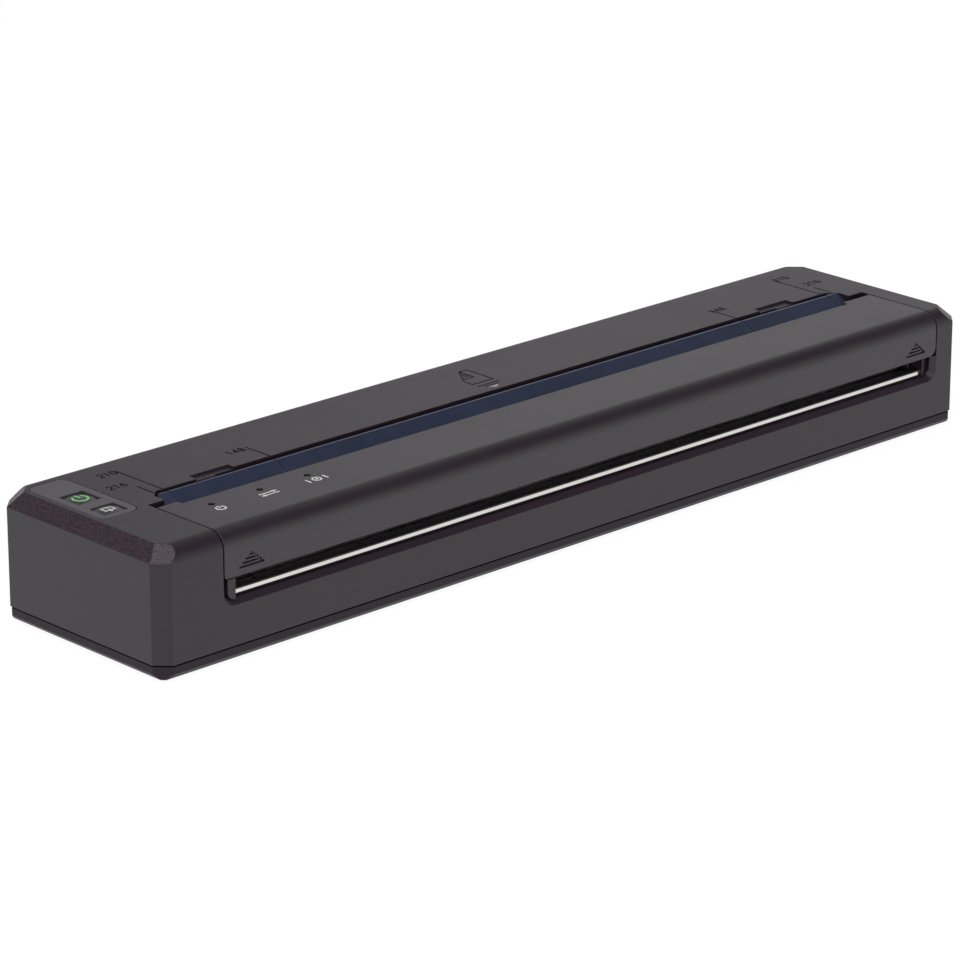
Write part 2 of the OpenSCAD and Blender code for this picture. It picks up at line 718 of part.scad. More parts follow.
// Page with a turned-over corner, a line under it and a wedge that points at the slot
module page_mark(x, y) {
    w = page_w / 2;
    low = [-w, page_l * 0.38];
    high = [w * 0.25, page_l];
    tip = [high.x, page_l * 0.45];
    side = [low.x + 0.9, tip.y];
    edges = [[[-w, 0], [w, 0]], [[w, 0], [w, page_l]], [[w, page_l], high], [high, low],
        [low, [-w, 0]], [high, tip], [tip, side], [[-w, -1.9], [w, -1.9]]];
    translate([x, y, 0]) {
        for (e = edges) stroke(e[0], e[1]);
        for (t = [0.25, 0.5, 0.75]) stroke(between(side, high, t), between(tip, high, t));
        translate([0, 0, top_z - mark_deep]) linear_extrude(1)
            polygon([[-w * 0.75, -2.9], [w * 0.75, -2.9], [0, -4.8]]);
    }
}

function between(a, b, t) = a + (b - a) * t;

module upper_housing() {
    color(housing_c) difference() {
        union() {
            difference() {
                case_form(0, parting_h);
                case_form(wall, parting_h - 1);
                housing_openings();
            }
            for (p = case_screws_xy)
                translate([p.x, p.y, boss_low + slip])
                    cylinder(d = boss_d, h = deck_z + 0.1 - boss_low - slip);
            for (y = button_post_y)
                translate([button_x, y, switch_board_z + board_t])
                    cylinder(d = button_post_d, h = deck_z + 0.1 - switch_board_z - board_t);
        }
        for (p = case_screws_xy) translate([p.x, p.y, 0])
            cylinder(d = screw_d + 2 * screw_fit, h = floor_z + 2 + screw_l);
        for (y = button_post_y) translate([button_x, y, 0])
            cylinder(d = 1.4 + 2 * screw_fit, h = switch_board_z + board_t + 4.5);
        // panel recess and the two button openings
        translate([panel_x0 - panel_seam, panel_y0 - panel_seam, top_z - panel_t - 0.05])
            round_plate([panel_w + 2 * panel_seam, panel_l + 2 * panel_seam], panel_r + panel_seam, 2);
        button_hole(power_y, power_l, top_z + 1);
        button_hole(feed_y, feed_l, top_z + 1);
        // ports in the rear wall
        span_box([usb_x - usb_w / 2 - 0.3, rear_y - wall - 1, io_top - 0.3],
            [usb_x + usb_w / 2 + 0.3, rear_y + 1, io_top + usb_h + 0.3]);
        translate([dc_x, rear_y + 1, io_top + dc_h / 2]) rotate([90, 0, 0])
            cylinder(d = dc_bore + 1.6, h = wall + 2);
        sheet_marks();
        // clearance for the battery door's upstand
        span_box([door_x0 - door_gap, rear_y - wall - 1, parting_h - 1],
            [door_x1 + door_gap, rear_y + 1, parting_h]);
    }
}

module button_hole(y, l, z1) {
    g = button_gap;
    span_box([button_x - button_w / 2 - g, y - l / 2 - g, deck_z - 1],
        [button_x + button_w / 2 + g, y + l / 2 + g, z1]);
}

module battery_door() {
    color(base_c) difference() {
        intersection() {
            base_form(0.3, floor_z, groove_lo);
            union() {
                span_box([door_x0, door_y0, floor_z], [door_x1, rear_y, tray_z - 0.05]);
                span_box([door_x0 - tongue_w, door_y0, floor_z + door_low_t + 0.05],
                    [door_x1 + tongue_w, rear_y - wall - 2, tray_z - 0.05]);
                span_box([door_x0, rear_y - wall, floor_z], [door_x1, rear_y, groove_lo]);
            }
        }
        // thumb grooves and an arrow
        for (i = [0 : 4]) span_box([battery_mid - 12, door_y0 + 3 + i * 1.6, floor_z - 1],
            [battery_mid + 12, door_y0 + 3.8 + i * 1.6, floor_z + 0.3]);
        translate([battery_mid, door_y0 + 14, floor_z - 1]) linear_extrude(1.3)
            polygon([[-3, 0], [3, 0], [0, 3]]);
    }
}

module rubber_feet() {
    color(rubber_c) for (p = feet_xy) translate([p.x, p.y, 0])
        cylinder(d = foot_d, h = foot_proud + foot_recess);
}

module case_screws() {
    color(steel_c) for (p = case_screws_xy) translate([p.x, p.y, floor_z + 0.6]) difference() {
        union() {
            cylinder(d = screw_head_d, h = 1);
            cylinder(d = screw_d, h = screw_l);
        }
        translate([0, 0, -1]) cylinder(d = 1.6, h = 1.5, $fn = 6);
    }
}

// ---------- release cover and guide bar ----------

module release_cover() {
    e = cover_end_t;
    color(cover_c) difference() {
        union() {
            intersection() {
                difference() {
                    case_form(0, parting_h);
                    case_form(cover_wall, parting_h - 1);
                }
                cover_zone();
            }
            end_wall(cover_x0);
            end_wall(cover_x1 - e);
        }
        // bores for the platen shaft ends and the hinge pins
        rod_x(cover_x0 - 1, cover_x1 + 1, platen_y, platen_z, shaft_d + 2 * run_fit);
        rod_x(cover_x0 - 1, cover_x1 + 1, hinge_y, hinge_z, hinge_pin_d + 2 * hinge_fit);
        for (i = [0 : 2]) translate([light_x(i), front_y + light_from_front, deck_z - 1])
            cylinder(d = light_d + 0.1, h = wall + 2);
        striped_arrow(paper_mid - sheet_a / 2 - 0.9);
        striped_arrow(paper_mid + sheet_a / 2 + 1.1);
    }
}

function light_x(i) = cover_x0 + light_inset + i * light_pitch;

// Outline of the cover: front and top shell with two ears at the rear
module cover_zone() {
    intersection() {
        union() {
            span_box([cover_x0, front_y - 1, 0], [cover_x1, cover_rear, top_z + 1]);
            span_box([cover_x0, cover_rear - 1, top_z - 1.4],
                [cover_x0 + ear_left_l, ear_rear, top_z + 1]);
            span_box([cover_x1 - ear_right_l, cover_rear - 1, top_z - 1.4],
                [cover_x1, ear_rear, top_z + 1]);
        }
        along_y(front_y - 1, rear_y) cover_front();
    }
}

// Cover seen from the front, with round lower corners
module cover_front() {
    a = cover_left_r;
    b = cover_corner_r;
    w = cover_x1 - cover_x0;
    translate([cover_x0 + a, cover_low]) square([w - a - b, body_h]);
    translate([cover_x0, cover_low + a]) square([w - b, body_h]);
    translate([cover_x0 + b, cover_low + b]) square([w - b, body_h]);
    translate([cover_x0 + a, cover_low + a]) circle(r = a);
    translate([cover_x1 - b, cover_low + b]) circle(r = b);
}

// End wall of the cover: holds the shaft end and reaches back to the hinge pin
module end_wall(x) {
    z_arm = hinge_z + 0.2;
    intersection() {
        along_x(x, x + cover_end_t) {
            difference() {
                translate([front_y, cover_low]) square([cover_depth + 0.6, body_h]);
                // swan neck clear of the deck when the cover swings
                translate([ear_rear - 0.9, z_arm]) square([6, 9]);
                translate([cover_rear - 5, cover_low - 1]) square([8, 3.2]);
                translate([cover_rear - 1, top_z - cover_wall - 0.3]) square([6, 6]);
            }
            translate([cover_rear - 1.4, hinge_z - 2.1]) square([hinge_y - cover_rear + 1.4, 2.3]);
            translate([hinge_y, hinge_z]) circle(r = hinge_boss_r);
        }
        case_form(0, parting_h);
        along_y(front_y - 1, rear_y) cover_front();
    }
}

// Triangle of engraved bars on the front of the cover
module striped_arrow(x) {
    step = arrow_h / arrow_bars;
    z0 = cover_low + 1.5;
    tip_z = z0 + arrow_h;
    half = arrow_w / 2;
    for (i = [0 : arrow_bars - 2]) {
        w = half * (1 - i / arrow_bars);
        span_box([x - w, front_y - 1, z0 + i * step], [x + w, front_y + arrow_deep, z0 + (i + 0.55) * step]);
    }
    // pointed tip, and the edge that joins the bars on the right
    along_y(front_y - 1, front_y + arrow_deep) polygon([[x + half, z0], [x, tip_z],
        [x - half / arrow_bars, tip_z - step], [x + half / arrow_bars - mark_w, tip_z - step],
        [x + half - 2 * mark_w, z0]]);
}

// Blue bar: sloped top face, round rear edge along the slot, curved guide underneath
module guide_bar() {
    t = bar_wall;
    r = bar_edge_r;
    drop = tan(bar_slope);
    round_y = bar_rear - r;
    round_z = top_z - r;
    sunk = r - 0.02; // the sloped face runs just inside the round edge
    crest_y = round_y - sunk * sin(bar_slope);
    crest_z = round_z + sunk * cos(bar_slope);
    slope_y = cover_rear + 0.3; // where the sloped face ends, under the cover's edge
    slope_z = crest_z - (crest_y - slope_y) * drop;
    low_y = platen_y + platen_r + 1.6;
    low_z = head_top + 1.2;
    color(blue_c) difference() {
        union() {
            along_x(bar_x0, bar_x1) polygon([
                [slope_y, slope_z], [crest_y, crest_z], [round_y + r / 4, round_z + r / 4],
                [round_y + r / 4, round_z - 1], [bar_rear, round_z - 1],
                [bar_rear, hinge_z - 2.2], [hinge_y, hinge_z - 5], [hinge_y - 4, hinge_z - 6.7],
                [low_y, low_z], [low_y, low_z + t], [hinge_y - 4.3, hinge_z - 5.5],
                [hinge_y - 0.8, hinge_z - 3.9], [bar_rear - t, hinge_z - 1.8],
                [bar_rear - t, round_z - 1.2], [slope_y + 0.5, slope_z - t],
                [cover_rear - 2.2, slope_z - t], [cover_rear - 2.2, deck_z - 0.1],
                [cover_rear - 0.4, deck_z - 0.1], [cover_rear - 0.2, slope_z]
            ]);
            along_x(bar_x0, bar_x1) {
                translate([round_y, round_z - 1.5]) square([r, 1.5]);
                translate([round_y, round_z]) circle(r = r);
            }
        }
        // corner facets at both ends of the top edge
        for (x = [bar_x0, bar_x1]) corner_prism(x, bar_rear, bar_facet, hinge_z - 9);
        // engraved sheet-width lines
        for (x = [paper_mid - sheet_a / 2, paper_mid + sheet_a / 2,
                paper_mid - sheet_c / 2, paper_mid + sheet_c / 2])
            translate([x, crest_y, crest_z]) rotate([bar_slope, 0, 0])
                span_box([-mark_w / 2, -9, -mark_deep], [mark_w / 2, 1, 1]);
    }
}

module status_lights() {
    color("white") for (i = [0 : 2])
        translate([light_x(i), front_y + light_from_front, 0]) {
            translate([0, 0, deck_z - 0.4]) cylinder(d = light_d, h = wall + 0.4 - light_sunk);
            translate([0, 0, deck_z - 0.7]) cylinder(d = light_d + 1, h = 0.65);
        }
}

module indicator_board() {
    z = deck_z - 1.3;
    y = front_y + light_from_front;
    color(board_c) {
        span_box([light_x(0) - 4, y - 1.6, z], [light_x(2) + 4, y + 2, z + 0.5]);
        for (i = [0 : 2]) translate([light_x(i) - 0.5, y - 0.4, z + 0.4]) cube([1, 0.8, 0.2]);
        // pads that hang the board from the cover
        for (x = [light_x(0) - 3.4, light_x(2) + 2.4])
            span_box([x, y - 1, z + 0.4], [x + 1, y + 1, deck_z - 0.05]);
    }
}

// ---------- exit, guides and frame ----------

module exit_guide() {
    y0 = front_y + wall + 0.1;
    x0 = plate_left_x - 1.1;
    x1 = cover_x1 + 0.2;
    zl = ledge_h;
    color(housing_c) difference() {
        union() {
            span_box([post_x[0] - 0.1, y0, zl - ledge_t], [post_x[1] + 0.1, y0 + ledge_d, zl]);
            span_box([x0, y0 + 0.3, lip_h - 3], [x1, y0 + 1.5, zl - ledge_t + 0.1]);
            // walls that close the slot at both ends
            for (p = [[x0, post_x[0]], [post_x[1], x1]])
                span_box([p[0], y0 + 0.3, lip_h - 1], [p[1], y0 + ledge_d, post_top]);
            left_post(cover_x0 - cover_seam + lip_bevel + 0.1, post_x[0], y0 + 0.4);
            right_post(post_x[1], y0 + 0.4);
        }
        for (i = [-3 : 3]) ledge_cutout(paper_mid + i * cutout_pitch, y0);
    }
}

// Flush post under the cover's left corner, its lower left corner round
module left_post(x0, x1, y1) {
    y0 = front_y + 0.2;
    z0 = lip_h + 0.1;
    r = recess_r - 0.1;
    span_box([x0, y0, z0 + r], [x1, y1, post_top]);
    intersection() {
        span_box([x0, y0, z0], [x1, y1, z0 + r + 0.1]);
        translate([x0 + r, y0, z0 + r]) rotate([-90, 0, 0]) cylinder(r = r, h = y1 - y0);
    }
}

// Round post at the right end of the slot
module right_post(x0, y1) {
    r = 1.2;
    intersection() {
        span_box([x0, front_y + 1, lip_h + 0.1], [x0 + r + 0.2, y1, post_top]);
        translate([x0 + 0.2, front_y + 1.5 + r, 0]) cylinder(r = r, h = top_z);
    }
}

// Bracket-shaped cut-out: two short legs joined by a line
module ledge_cutout(x, y0) {
    z0 = ledge_h - 0.5;
    l = cutout_l;
    span_box([x - l / 2, y0 + 1.4, z0], [x + l / 2, y0 + 1.8, ledge_h + 1]);
    for (s = [-l / 2, l / 2 - 0.4])
        span_box([x + s, y0 + 1.4, z0], [x + s + 0.4, y0 + 2.8, ledge_h + 1]);
}

module tear_bar() {
    y0 = front_y + wall + 0.1 - tear_t;
    x0 = post_x[0] + 0.1;
    x1 = plate_right_x - 0.4;
    color(bright_c) difference() {
        span_box([x0, y0, ledge_h - tear_h], [x1, y0 + tear_t - 0.02, ledge_h + 0.05]);
        // rounded upper front edge, broken by a shallow bevel
        along_x(x0 - 1, x1 + 1) polygon([[y0 - 0.1, ledge_h + 0.1], [y0 + 0.2, ledge_h + 0.1],
            [y0 - 0.1, ledge_h - 0.2]]);
    }
}

module paper_guide() {
    y = chute_y;
    t = chute_t;
    h = deck_z - 0.1;
    low_z = head_top - 0.4;
    low_y = platen_y + head_d / 2 + 1.2;
    color(dark_c) difference() {
        union() {
            along_x(plate_left_x + plate_t + 0.1, plate_right_x - 0.1) polygon([
                [y, h], [y, hinge_z - 2.6], [y - 3.1, hinge_z - 6], [y - 8.1, hinge_z - 8.1],
                [low_y, low_z], [low_y, low_z - t], [y - 7.7, hinge_z - 9.3],
                [y - 2.5, hinge_z - 7], [y + t, hinge_z - 3], [y + t, h]
            ]);
            // feet that carry the guide on the beam
            for (x = [beam_x0 + 12, beam_x1 - 14])
                span_box([x, low_y + 0.3, beam_h + beam_t + slip], [x + 2, low_y + 3, low_z - t + 0.2]);
        }
        // window of the paper sensor
        span_box([paper_mid - 32, low_y + 2, low_z - 3], [paper_mid - 28, low_y + 5, low_z + 3]);
    }
}

module paper_sensor() {
    low_z = head_top - 0.4;
    low_y = platen_y + head_d / 2 + 1.2;
    color(chip_c) {
        span_box([paper_mid - 31.7, low_y + 2.3, low_z - 2.4],
            [paper_mid - 28.3, low_y + 4.7, low_z - 0.4]);
        span_box([paper_mid - 33, low_y + 0.6, low_z - 3.2],
            [paper_mid - 27, low_y + 5.6, low_z - 2.4]);
    }
}

// Side plate in the Y-Z plane: U-notch for the bush, hole for the hinge pin
module side_plate_outline(foot_y1) {
    r = bush_d / 2 + run_fit;
    difference() {
        union() {
            translate([front_y + 5.2, tray_z + 0.7])
                square([foot_y1 - front_y - 5.2, platen_z - tray_z - 0.7]);
            translate([platen_y + r - 0.2, tray_z + 5])
                square([1.6, platen_z + 2.6 - tray_z - 5]);
            translate([hinge_y - 3.2, tray_z + 5]) square([5.4, hinge_z - tray_z - 5]);
            translate([hinge_y, hinge_z]) circle(r = 2.1);
        }
        translate([platen_y, platen_z]) circle(r = r);
        translate([platen_y - r, platen_z]) square([2 * r, 20]);
        translate([platen_y - r - 1.2, platen_z - 0.8]) square([r + 1.2, 20]);
    }
}

module plate_holes(x) {
    rod_x(x - 1, x + 2, hinge_y, hinge_z, hinge_pin_d + 2 * hinge_fit);
    for (y = [platen_y - 3.6, platen_y + 3.6])
        rod_x(x - 1, x + 2, y, beam_h + beam_t + 1.6, screw_d + 2 * screw_fit);
}

module left_side_plate() {
    x = plate_left_x;
    color(steel_c) difference() {
        union() {
            along_x(x, x + plate_t) side_plate_outline(hinge_y + 4);
            span_box([x, front_y + 5.2, tray_z + 0.7], [x + 4, front_y + 8, tray_z + 0.7 + plate_t]);
        }
        plate_holes(x);
    }
}

module right_side_plate() {
    x = plate_right_x;
    color(steel_c) difference() {
        union() {
            along_x(x, x + plate_t) {
                side_plate_outline(hinge_y + 4);
                translate([hinge_y, tray_z + 0.7])
                    square([motor_y + motor_d / 2 + 1 - hinge_y, motor_z + 6 - tray_z]);
            }
        }
        plate_holes(x);
        for (p = [[idler_y, idler_z], [wheel_y, wheel_z]])
            rod_x(x - 1, x + 2, p[0], p[1], axle_d + 2 * screw_fit);
        rod_x(x - 1, x + 2, motor_y, motor_z, 5);
        for (s = [-1, 1])
            rod_x(x - 1, x + 2, motor_y, motor_z + s * (motor_d / 2 - 2), screw_d - 0.4 + 2 * screw_fit);
    }
}

module head_beam() {
    y0 = platen_y - head_d / 2 - 1;
    y1 = platen_y + head_d / 2 + 4.4;
    z = beam_h;
    color(steel_c) difference() {
        union() {
            span_box([beam_x0 + 0.05, y0, z], [beam_x1 - 0.05, y1, z + beam_t]);
            span_box([beam_x0 + 0.05, y0, z], [beam_x1 - 0.05, y0 + beam_t, z + 2.4]);
            for (x = [beam_x0 + 0.05, beam_x1 - 0.05 - beam_t])
                span_box([x, y0, z], [x + beam_t, y1, z + 4]);
        }
        for (y = [platen_y - 3.6, platen_y + 3.6])
            rod_x(beam_x0 - 1, beam_x1 + 1, y, z + beam_t + 1.6, screw_d + 2 * screw_fit);
        span_box([-12, y0 + 3, z - 1], [12, y0 + 4.4, z + 2]);
    }
}

module frame_screws() {
    color(steel_c) for (y = [platen_y - 3.6, platen_y + 3.6]) {
        z = beam_h + beam_t + 1.6;
        frame_screw(plate_left_x, y, z, -1);
        frame_screw(plate_right_x + plate_t, y, z, 1);
    }
    color(steel_c) for (y = button_post_y)
        translate([button_x, y, switch_board_z - 0.8]) {
            cylinder(d = 3, h = 0.75);
            cylinder(d = 1.4, h = 5);
        }
}

// Screw with a thin head, driven towards -side from a plate face at x
module frame_screw(x, y, z, side) {
    head = 0.25;
    rod_x(side < 0 ? x - head : x, side < 0 ? x : x + head, y, z, 3.2);
    rod_x(side < 0 ? x - 0.1 : x - 3, side < 0 ? x + 3 : x + 0.1, y, z, screw_d);
}

module hinge_pins() {
    color(steel_c) {
        rod_x(cover_x0 - 0.1, plate_left_x + plate_t + 0.2, hinge_y, hinge_z, hinge_pin_d);
        rod_x(plate_right_x - 0.2, cover_x1 + 0.1, hinge_y, hinge_z, hinge_pin_d);
    }
}

module print_head() {
    color(gear_c) {
        span_box([head_x0, platen_y - head_d / 2, head_top - head_t],
            [head_x1, platen_y + head_d / 2, head_top - 0.1]);
        // glazed heater line under the roller
        span_box([head_x0 + 1, platen_y - 0.6, head_top - 0.2], [head_x1 - 1, platen_y + 0.6, head_top]);
    }
}

module head_heatsink() {
    y0 = platen_y - head_d / 2 - 0.6;
    y1 = platen_y + head_d / 2 + 0.2;
    color(steel_c) difference() {
        span_box([head_x0 - 0.8, y0, sink_z], [head_x1 + 0.8, y1, head_top - head_t - 0.02]);
        // grooves along the underside
        for (i = [0 : 2]) span_box([head_x0 - 2, y0 + 1.4 + i * 2.8, sink_z - 1],
            [head_x1 + 2, y0 + 2.4 + i * 2.8, sink_z + 0.7]);
    }
}

// Bent leaf springs between the beam and the heatsink
module head_springs() {
    z0 = beam_h + beam_t + 0.02;
    z1 = sink_z - 0.02;
    y0 = platen_y - 3;
    color(steel_c) for (i = [0 : spring_n - 1]) {
        x = head_x0 + (i + 0.5) * (head_x1 - head_x0) / spring_n;
        along_x(x - 3, x + 3) polygon([
            [y0, z0], [y0 + 2.4, z0], [y0 + 5.4, z1 - leaf_t], [y0 + 7, z1 - leaf_t], [y0 + 7, z1],
            [y0 + 5.2, z1], [y0 + 2.2, z0 + leaf_t], [y0, z0 + leaf_t]
        ]);
    }
}

// Flat cable from the head down through the beam to the main board
module head_ribbon() {
    y = platen_y - head_d / 2 + 2.7;
    z1 = main_z + board_t;
    color("goldenrod") {
        span_box([-11, y, z1 + 1.4], [11, y + 0.3, sink_z - 0.02]);
        span_box([-12, y - 1, z1 + 0.02], [12, y + 1.3, z1 + 1.5]);
    }
}

// ---------- platen and gears ----------

module platen_roller() {
    color(rubber_c) difference() {
        rod_x(rubber_x0, rubber_x1, platen_y, platen_z, platen_d);
        rod_x(rubber_x0 - 1, rubber_x1 + 1, platen_y, platen_z, shaft_d + 0.02);
    }
}

module platen_shaft() {
    color(steel_c) rod_x(cover_x0 + 0.05, cover_x1 - 0.05, platen_y, platen_z, shaft_d);
}

module platen_bushes() {
    color(gold_c) for (x = [plate_left_x, plate_right_x]) difference() {
        union() {
            rod_x(x - 0.2, x + plate_t + 0.2, platen_y, platen_z, bush_d);
            x1 = x == plate_left_x ? x + plate_t + 0.15 : x - 1.05;
            rod_x(x1, x1 + 0.9, platen_y, platen_z, bush_d + 1.2);
        }
        rod_x(x - 3, x + 4, platen_y, platen_z, shaft_d + 2 * run_fit);
    }
}

module platen_gear() {
    color(gear_c) spur(platen_teeth, platen_phase, platen_y, platen_z, gear_a_x, gear_w, shaft_d + 0.02);
}

module idler_gear() {
    color(gear_c) spur(idler_teeth, idler_phase, idler_y, idler_z, gear_a_x, gear_w,
        axle_d + 2 * run_fit);
}

module reduction_gear() {
    color(gear_c) {
        spur(small_teeth, wheel_phase, wheel_y, wheel_z, gear_a_x, gear_w + side_gap,
            axle_d + 2 * run_fit);
        spur(large_teeth, wheel_phase, wheel_y, wheel_z, gear_b_x, gear_w, axle_d + 2 * run_fit);
    }
}

module motor_pinion() {
    color(gold_c) union() {
        spur(pinion_teeth, pinion_phase, motor_y, motor_z, gear_b_x, gear_w, motor_shaft_d + 0.02);
        difference() {
            rod_x(gear_b_x - 1.4, gear_b_x + 0.1, motor_y, motor_z, 4);
            rod_x(gear_b_x - 2, gear_b_x + 1, motor_y, motor_z, motor_shaft_d + 0.02);
        }
    }
}

module gear_axles() {
    color(steel_c) {
        rod_x(plate_right_x + 0.05, gear_a_x + gear_w + 0.25, idler_y, idler_z, axle_d);
        rod_x(plate_right_x + 0.05, gear_b_x + gear_w + 0.5, wheel_y, wheel_z, axle_d);
    }
}

module stepper_motor() {
    x1 = plate_right_x - 0.05;
    color(steel_c) {
        rod_x(x1 - motor_l, x1, motor_y, motor_z, motor_d);
        rod_x(x1 - 0.1, x1 + plate_t + 0.1, motor_y, motor_z, 4.6);
    }
    color(chip_c) span_box([x1 - motor_l + 3, motor_y - 5, motor_z + motor_d / 2 - 2],
        [x1 - 4, motor_y + 5, motor_z + motor_d / 2 + 0.8]);
}

module motor_screws() {
    x = plate_right_x + plate_t;
    color(steel_c) for (s = [-1, 1]) {
        z = motor_z + s * (motor_d / 2 - 2);
        rod_x(x + 0.02, x + 0.25, motor_y, z, 2.8);
        rod_x(x - plate_t + 0.05, x + 0.1, motor_y, z, screw_d - 0.4);
    }
}

// ---------- electronics ----------

module button_panel() {
    color(panel_c) difference() {
        translate([panel_x0, panel_y0, top_z - panel_t])
            round_plate([panel_w, panel_l], panel_r, panel_t);
        button_hole(power_y, power_l, top_z + 1);
        button_hole(feed_y, feed_l, top_z + 1);
    }
}

module button(y, l) {
    w = button_w;
    rim = w / 2 + 0.5; // half width that the crown's height is taken over
    r = (rim * rim + crown * crown) / (2 * crown);
    zf = deck_z - 0.2 - flange_t;
    color(panel_c) {
        intersection() {
            span_box([button_x - w / 2, y - l / 2, zf + 0.1], [button_x + w / 2, y + l / 2, top_z]);
            translate([button_x, y, top_z - r]) sphere(r = r);
        }
        span_box([button_x - w / 2 - flange_lip, y - l / 2 - flange_lip, zf],
            [button_x + w / 2 + flange_lip, y + l / 2 + flange_lip, zf + flange_t]);
        translate([button_x, y, stem_z]) cylinder(d = 3, h = zf - stem_z + 0.1);
    }
}

module power_button() {
    button(power_y, power_l);
}

module feed_button() {
    button(feed_y, feed_l);
}

module button_board() {
    z = switch_board_z;
    color(board_c) difference() {
        span_box([button_x - 5, button_post_y[0] - 1.5, z],
            [button_x + 5, button_post_y[1] + 1.5, z + board_t - 0.02]);
        for (y = button_post_y) translate([button_x, y, z - 1]) cylinder(d = 1.5, h = 4);
    }
}

module tact_switches() {
    z = switch_board_z + board_t;
    color(chip_c) for (y = [power_y, feed_y]) {
        span_box([button_x - 3, y - 3, z], [button_x + 3, y + 3, z + switch_h]);
        translate([button_x, y, z + switch_h - 0.1]) cylinder(d = 3.2, h = plunger_h + 0.1);
    }
}

module main_board() {
    z = main_z;
    color(board_c) difference() {
        span_box([main_x0, main_y0, z + 0.02], [main_x1, main_y0 + board_d, z + board_t]);
        for (x = [main_x0 + 8, main_x1 - 8]) for (y = [main_y0 + 4, main_y0 + board_d - 4])
            translate([x, y, z - 1]) cylinder(d = screw_d, h = 4);
    }
}

module processor() {
    x = main_x1 - processor_from_right;
    color(chip_c) span_box([x, main_y0 + 7, parts_z],
        [x + processor_w, main_y0 + 7 + processor_w, parts_z + 1.4]);
}

// A chip: place from a board corner, length, depth
module chip(x, y, l, d) {
    color(chip_c) span_box([x, main_y0 + y, parts_z], [x + l, main_y0 + y + d, parts_z + chip_h]);
}

module board_chips() {
    for (c = chips_left) chip(main_x0 + c[0], c[1], c[2], c[3]);
    for (c = chips_right) chip(main_x1 - c[0], c[1], c[2], c[3]);
}

module capacitors() {
    color(steel_c) for (i = [0 : 2])
        translate([capacitor_x + i * capacitor_pitch, main_y0 + board_d - 5, parts_z])
            cylinder(d = capacitor_d, h = 3.4);
}

module wireless_module() {
    x1 = main_x1 - 2;
    x0 = x1 - wireless_l;
    y = main_y0 + 1.5;
    color(steel_c) span_box([x0, y, parts_z], [x1, y + wireless_d, parts_z + 0.8]);
    color(chip_c) span_box([x0 + 2, y + 1, parts_z + 0.7],
        [x1 - 2, y + wireless_d - 3, parts_z + 1.5]);
}

// Flat cable from the motor forward to the main board
module motor_flex() {
    x1 = plate_right_x - 8;
    z1 = main_z + board_t;
    y = main_y0 + board_d - 3;
    ym = motor_y - motor_d / 2;
    // underside of the can above the cable's rear end
    can_z = motor_z - sqrt(pow(motor_d / 2, 2) - pow(motor_d / 2 - 2.6, 2));
    color("goldenrod") {
        span_box([x1 - 6, y, z1 + 0.02], [x1 - 1, y + 2, z1 + 1.4]);
        span_box([x1 - 5.5, y + 1.9, z1 + 0.6], [x1 - 1.5, ym + 2.6, z1 + 0.9]);
        span_box([x1 - 5.5, ym + 2.3, z1 + 0.6], [x1 - 1.5, ym + 2.6, can_z - 0.1]);
    }
}

module io_board() {
    color(board_c) difference() {
        span_box([dc_x - 8, rear_y - 18, io_z + 0.02],
            [usb_x + 9, rear_y - wall - slip - rim_t - 0.1, io_top]);
        // notches round the bosses, open to the rear
        for (p = case_screws_xy) {
            r = boss_d / 2 + 0.3;
            translate([p.x, p.y, io_z - 1]) cylinder(r = r, h = 4);
            span_box([p.x - r, p.y, io_z - 1], [p.x + r, p.y > 0 ? rear_y : p.y + 0.1, io_z + 3]);
        }
    }
}

module usb_socket() {
    y1 = rear_y - 0.9;
    z = io_top + 0.02;
    color(steel_c) difference() {
        translate([usb_x, y1, z]) rotate([90, 0, 0]) stadium(usb_w, usb_h, usb_d);
        translate([usb_x, y1 + 0.1, z + 0.3]) rotate([90, 0, 0]) stadium(usb_w - 0.6, usb_h - 0.6, usb_d - 1);
    }
    color(chip_c) span_box([usb_x - 3.3, y1 - usb_d + 0.9, z + usb_h / 2 - 0.35],
        [usb_x + 3.3, y1 - 1.4, z + usb_h / 2 + 0.35]);
}

// Flat-sided oval, w wide and h high, standing on z = 0
module stadium(w, h, l) {
    linear_extrude(l) {
        translate([-w / 2 + h / 2, 0]) square([w - h, h]);
        for (s = [-1, 1]) translate([s * (w - h) / 2, h / 2]) circle(d = h);
    }
}

module dc_inlet() {
    y1 = rear_y - wall - slip;
    z = io_top + 0.02;
    zc = io_top + dc_h / 2;
    color(chip_c) difference() {
        union() {
            span_box([dc_x - dc_w / 2, y1 - dc_d, z], [dc_x + dc_w / 2, y1, z + dc_h]);
            translate([dc_x, y1 + wall - 0.4, zc]) rotate([90, 0, 0])
                cylinder(d = dc_bore + 1.2, h = wall);
        }
        translate([dc_x, y1 + wall, zc]) rotate([90, 0, 0]) cylinder(d = dc_bore, h = dc_d - 1);
    }
    color(steel_c) translate([dc_x, y1 + 0.2, zc]) rotate([90, 0, 0]) cylinder(d = 1.6, h = dc_d - 1);
}

// ---------- battery ----------

module battery_case() {
    x1 = battery_x0 + battery_l;
    z1 = battery_z0 + battery_h;
    y1 = battery_y0 + battery_d;
    color(dark_c) difference() {
        span_box([battery_x0, battery_y0, battery_z0], [x1, y1, z1]);
        rod_x(battery_x0 + 4.5, x1 - 6.5, battery_y0 + battery_d / 2, battery_z0 + battery_h / 2,
            cell_d + 0.2);
        // long bevels along the upper edges
        for (y = [battery_y0, y1]) translate([0, y, z1]) rotate([45, 0, 0])
            span_box([battery_x0 - 1, -0.9, -0.9], [x1 + 1, 0.9, 0.9]);
        // contact windows in the left end
        for (i = [0 : 2]) span_box([battery_x0 - 1, battery_y0 + 4 + i * 4.4, battery_z0 + 3],
            [battery_x0 + 1.2, battery_y0 + 6 + i * 4.4, battery_z0 + 7]);
    }
}

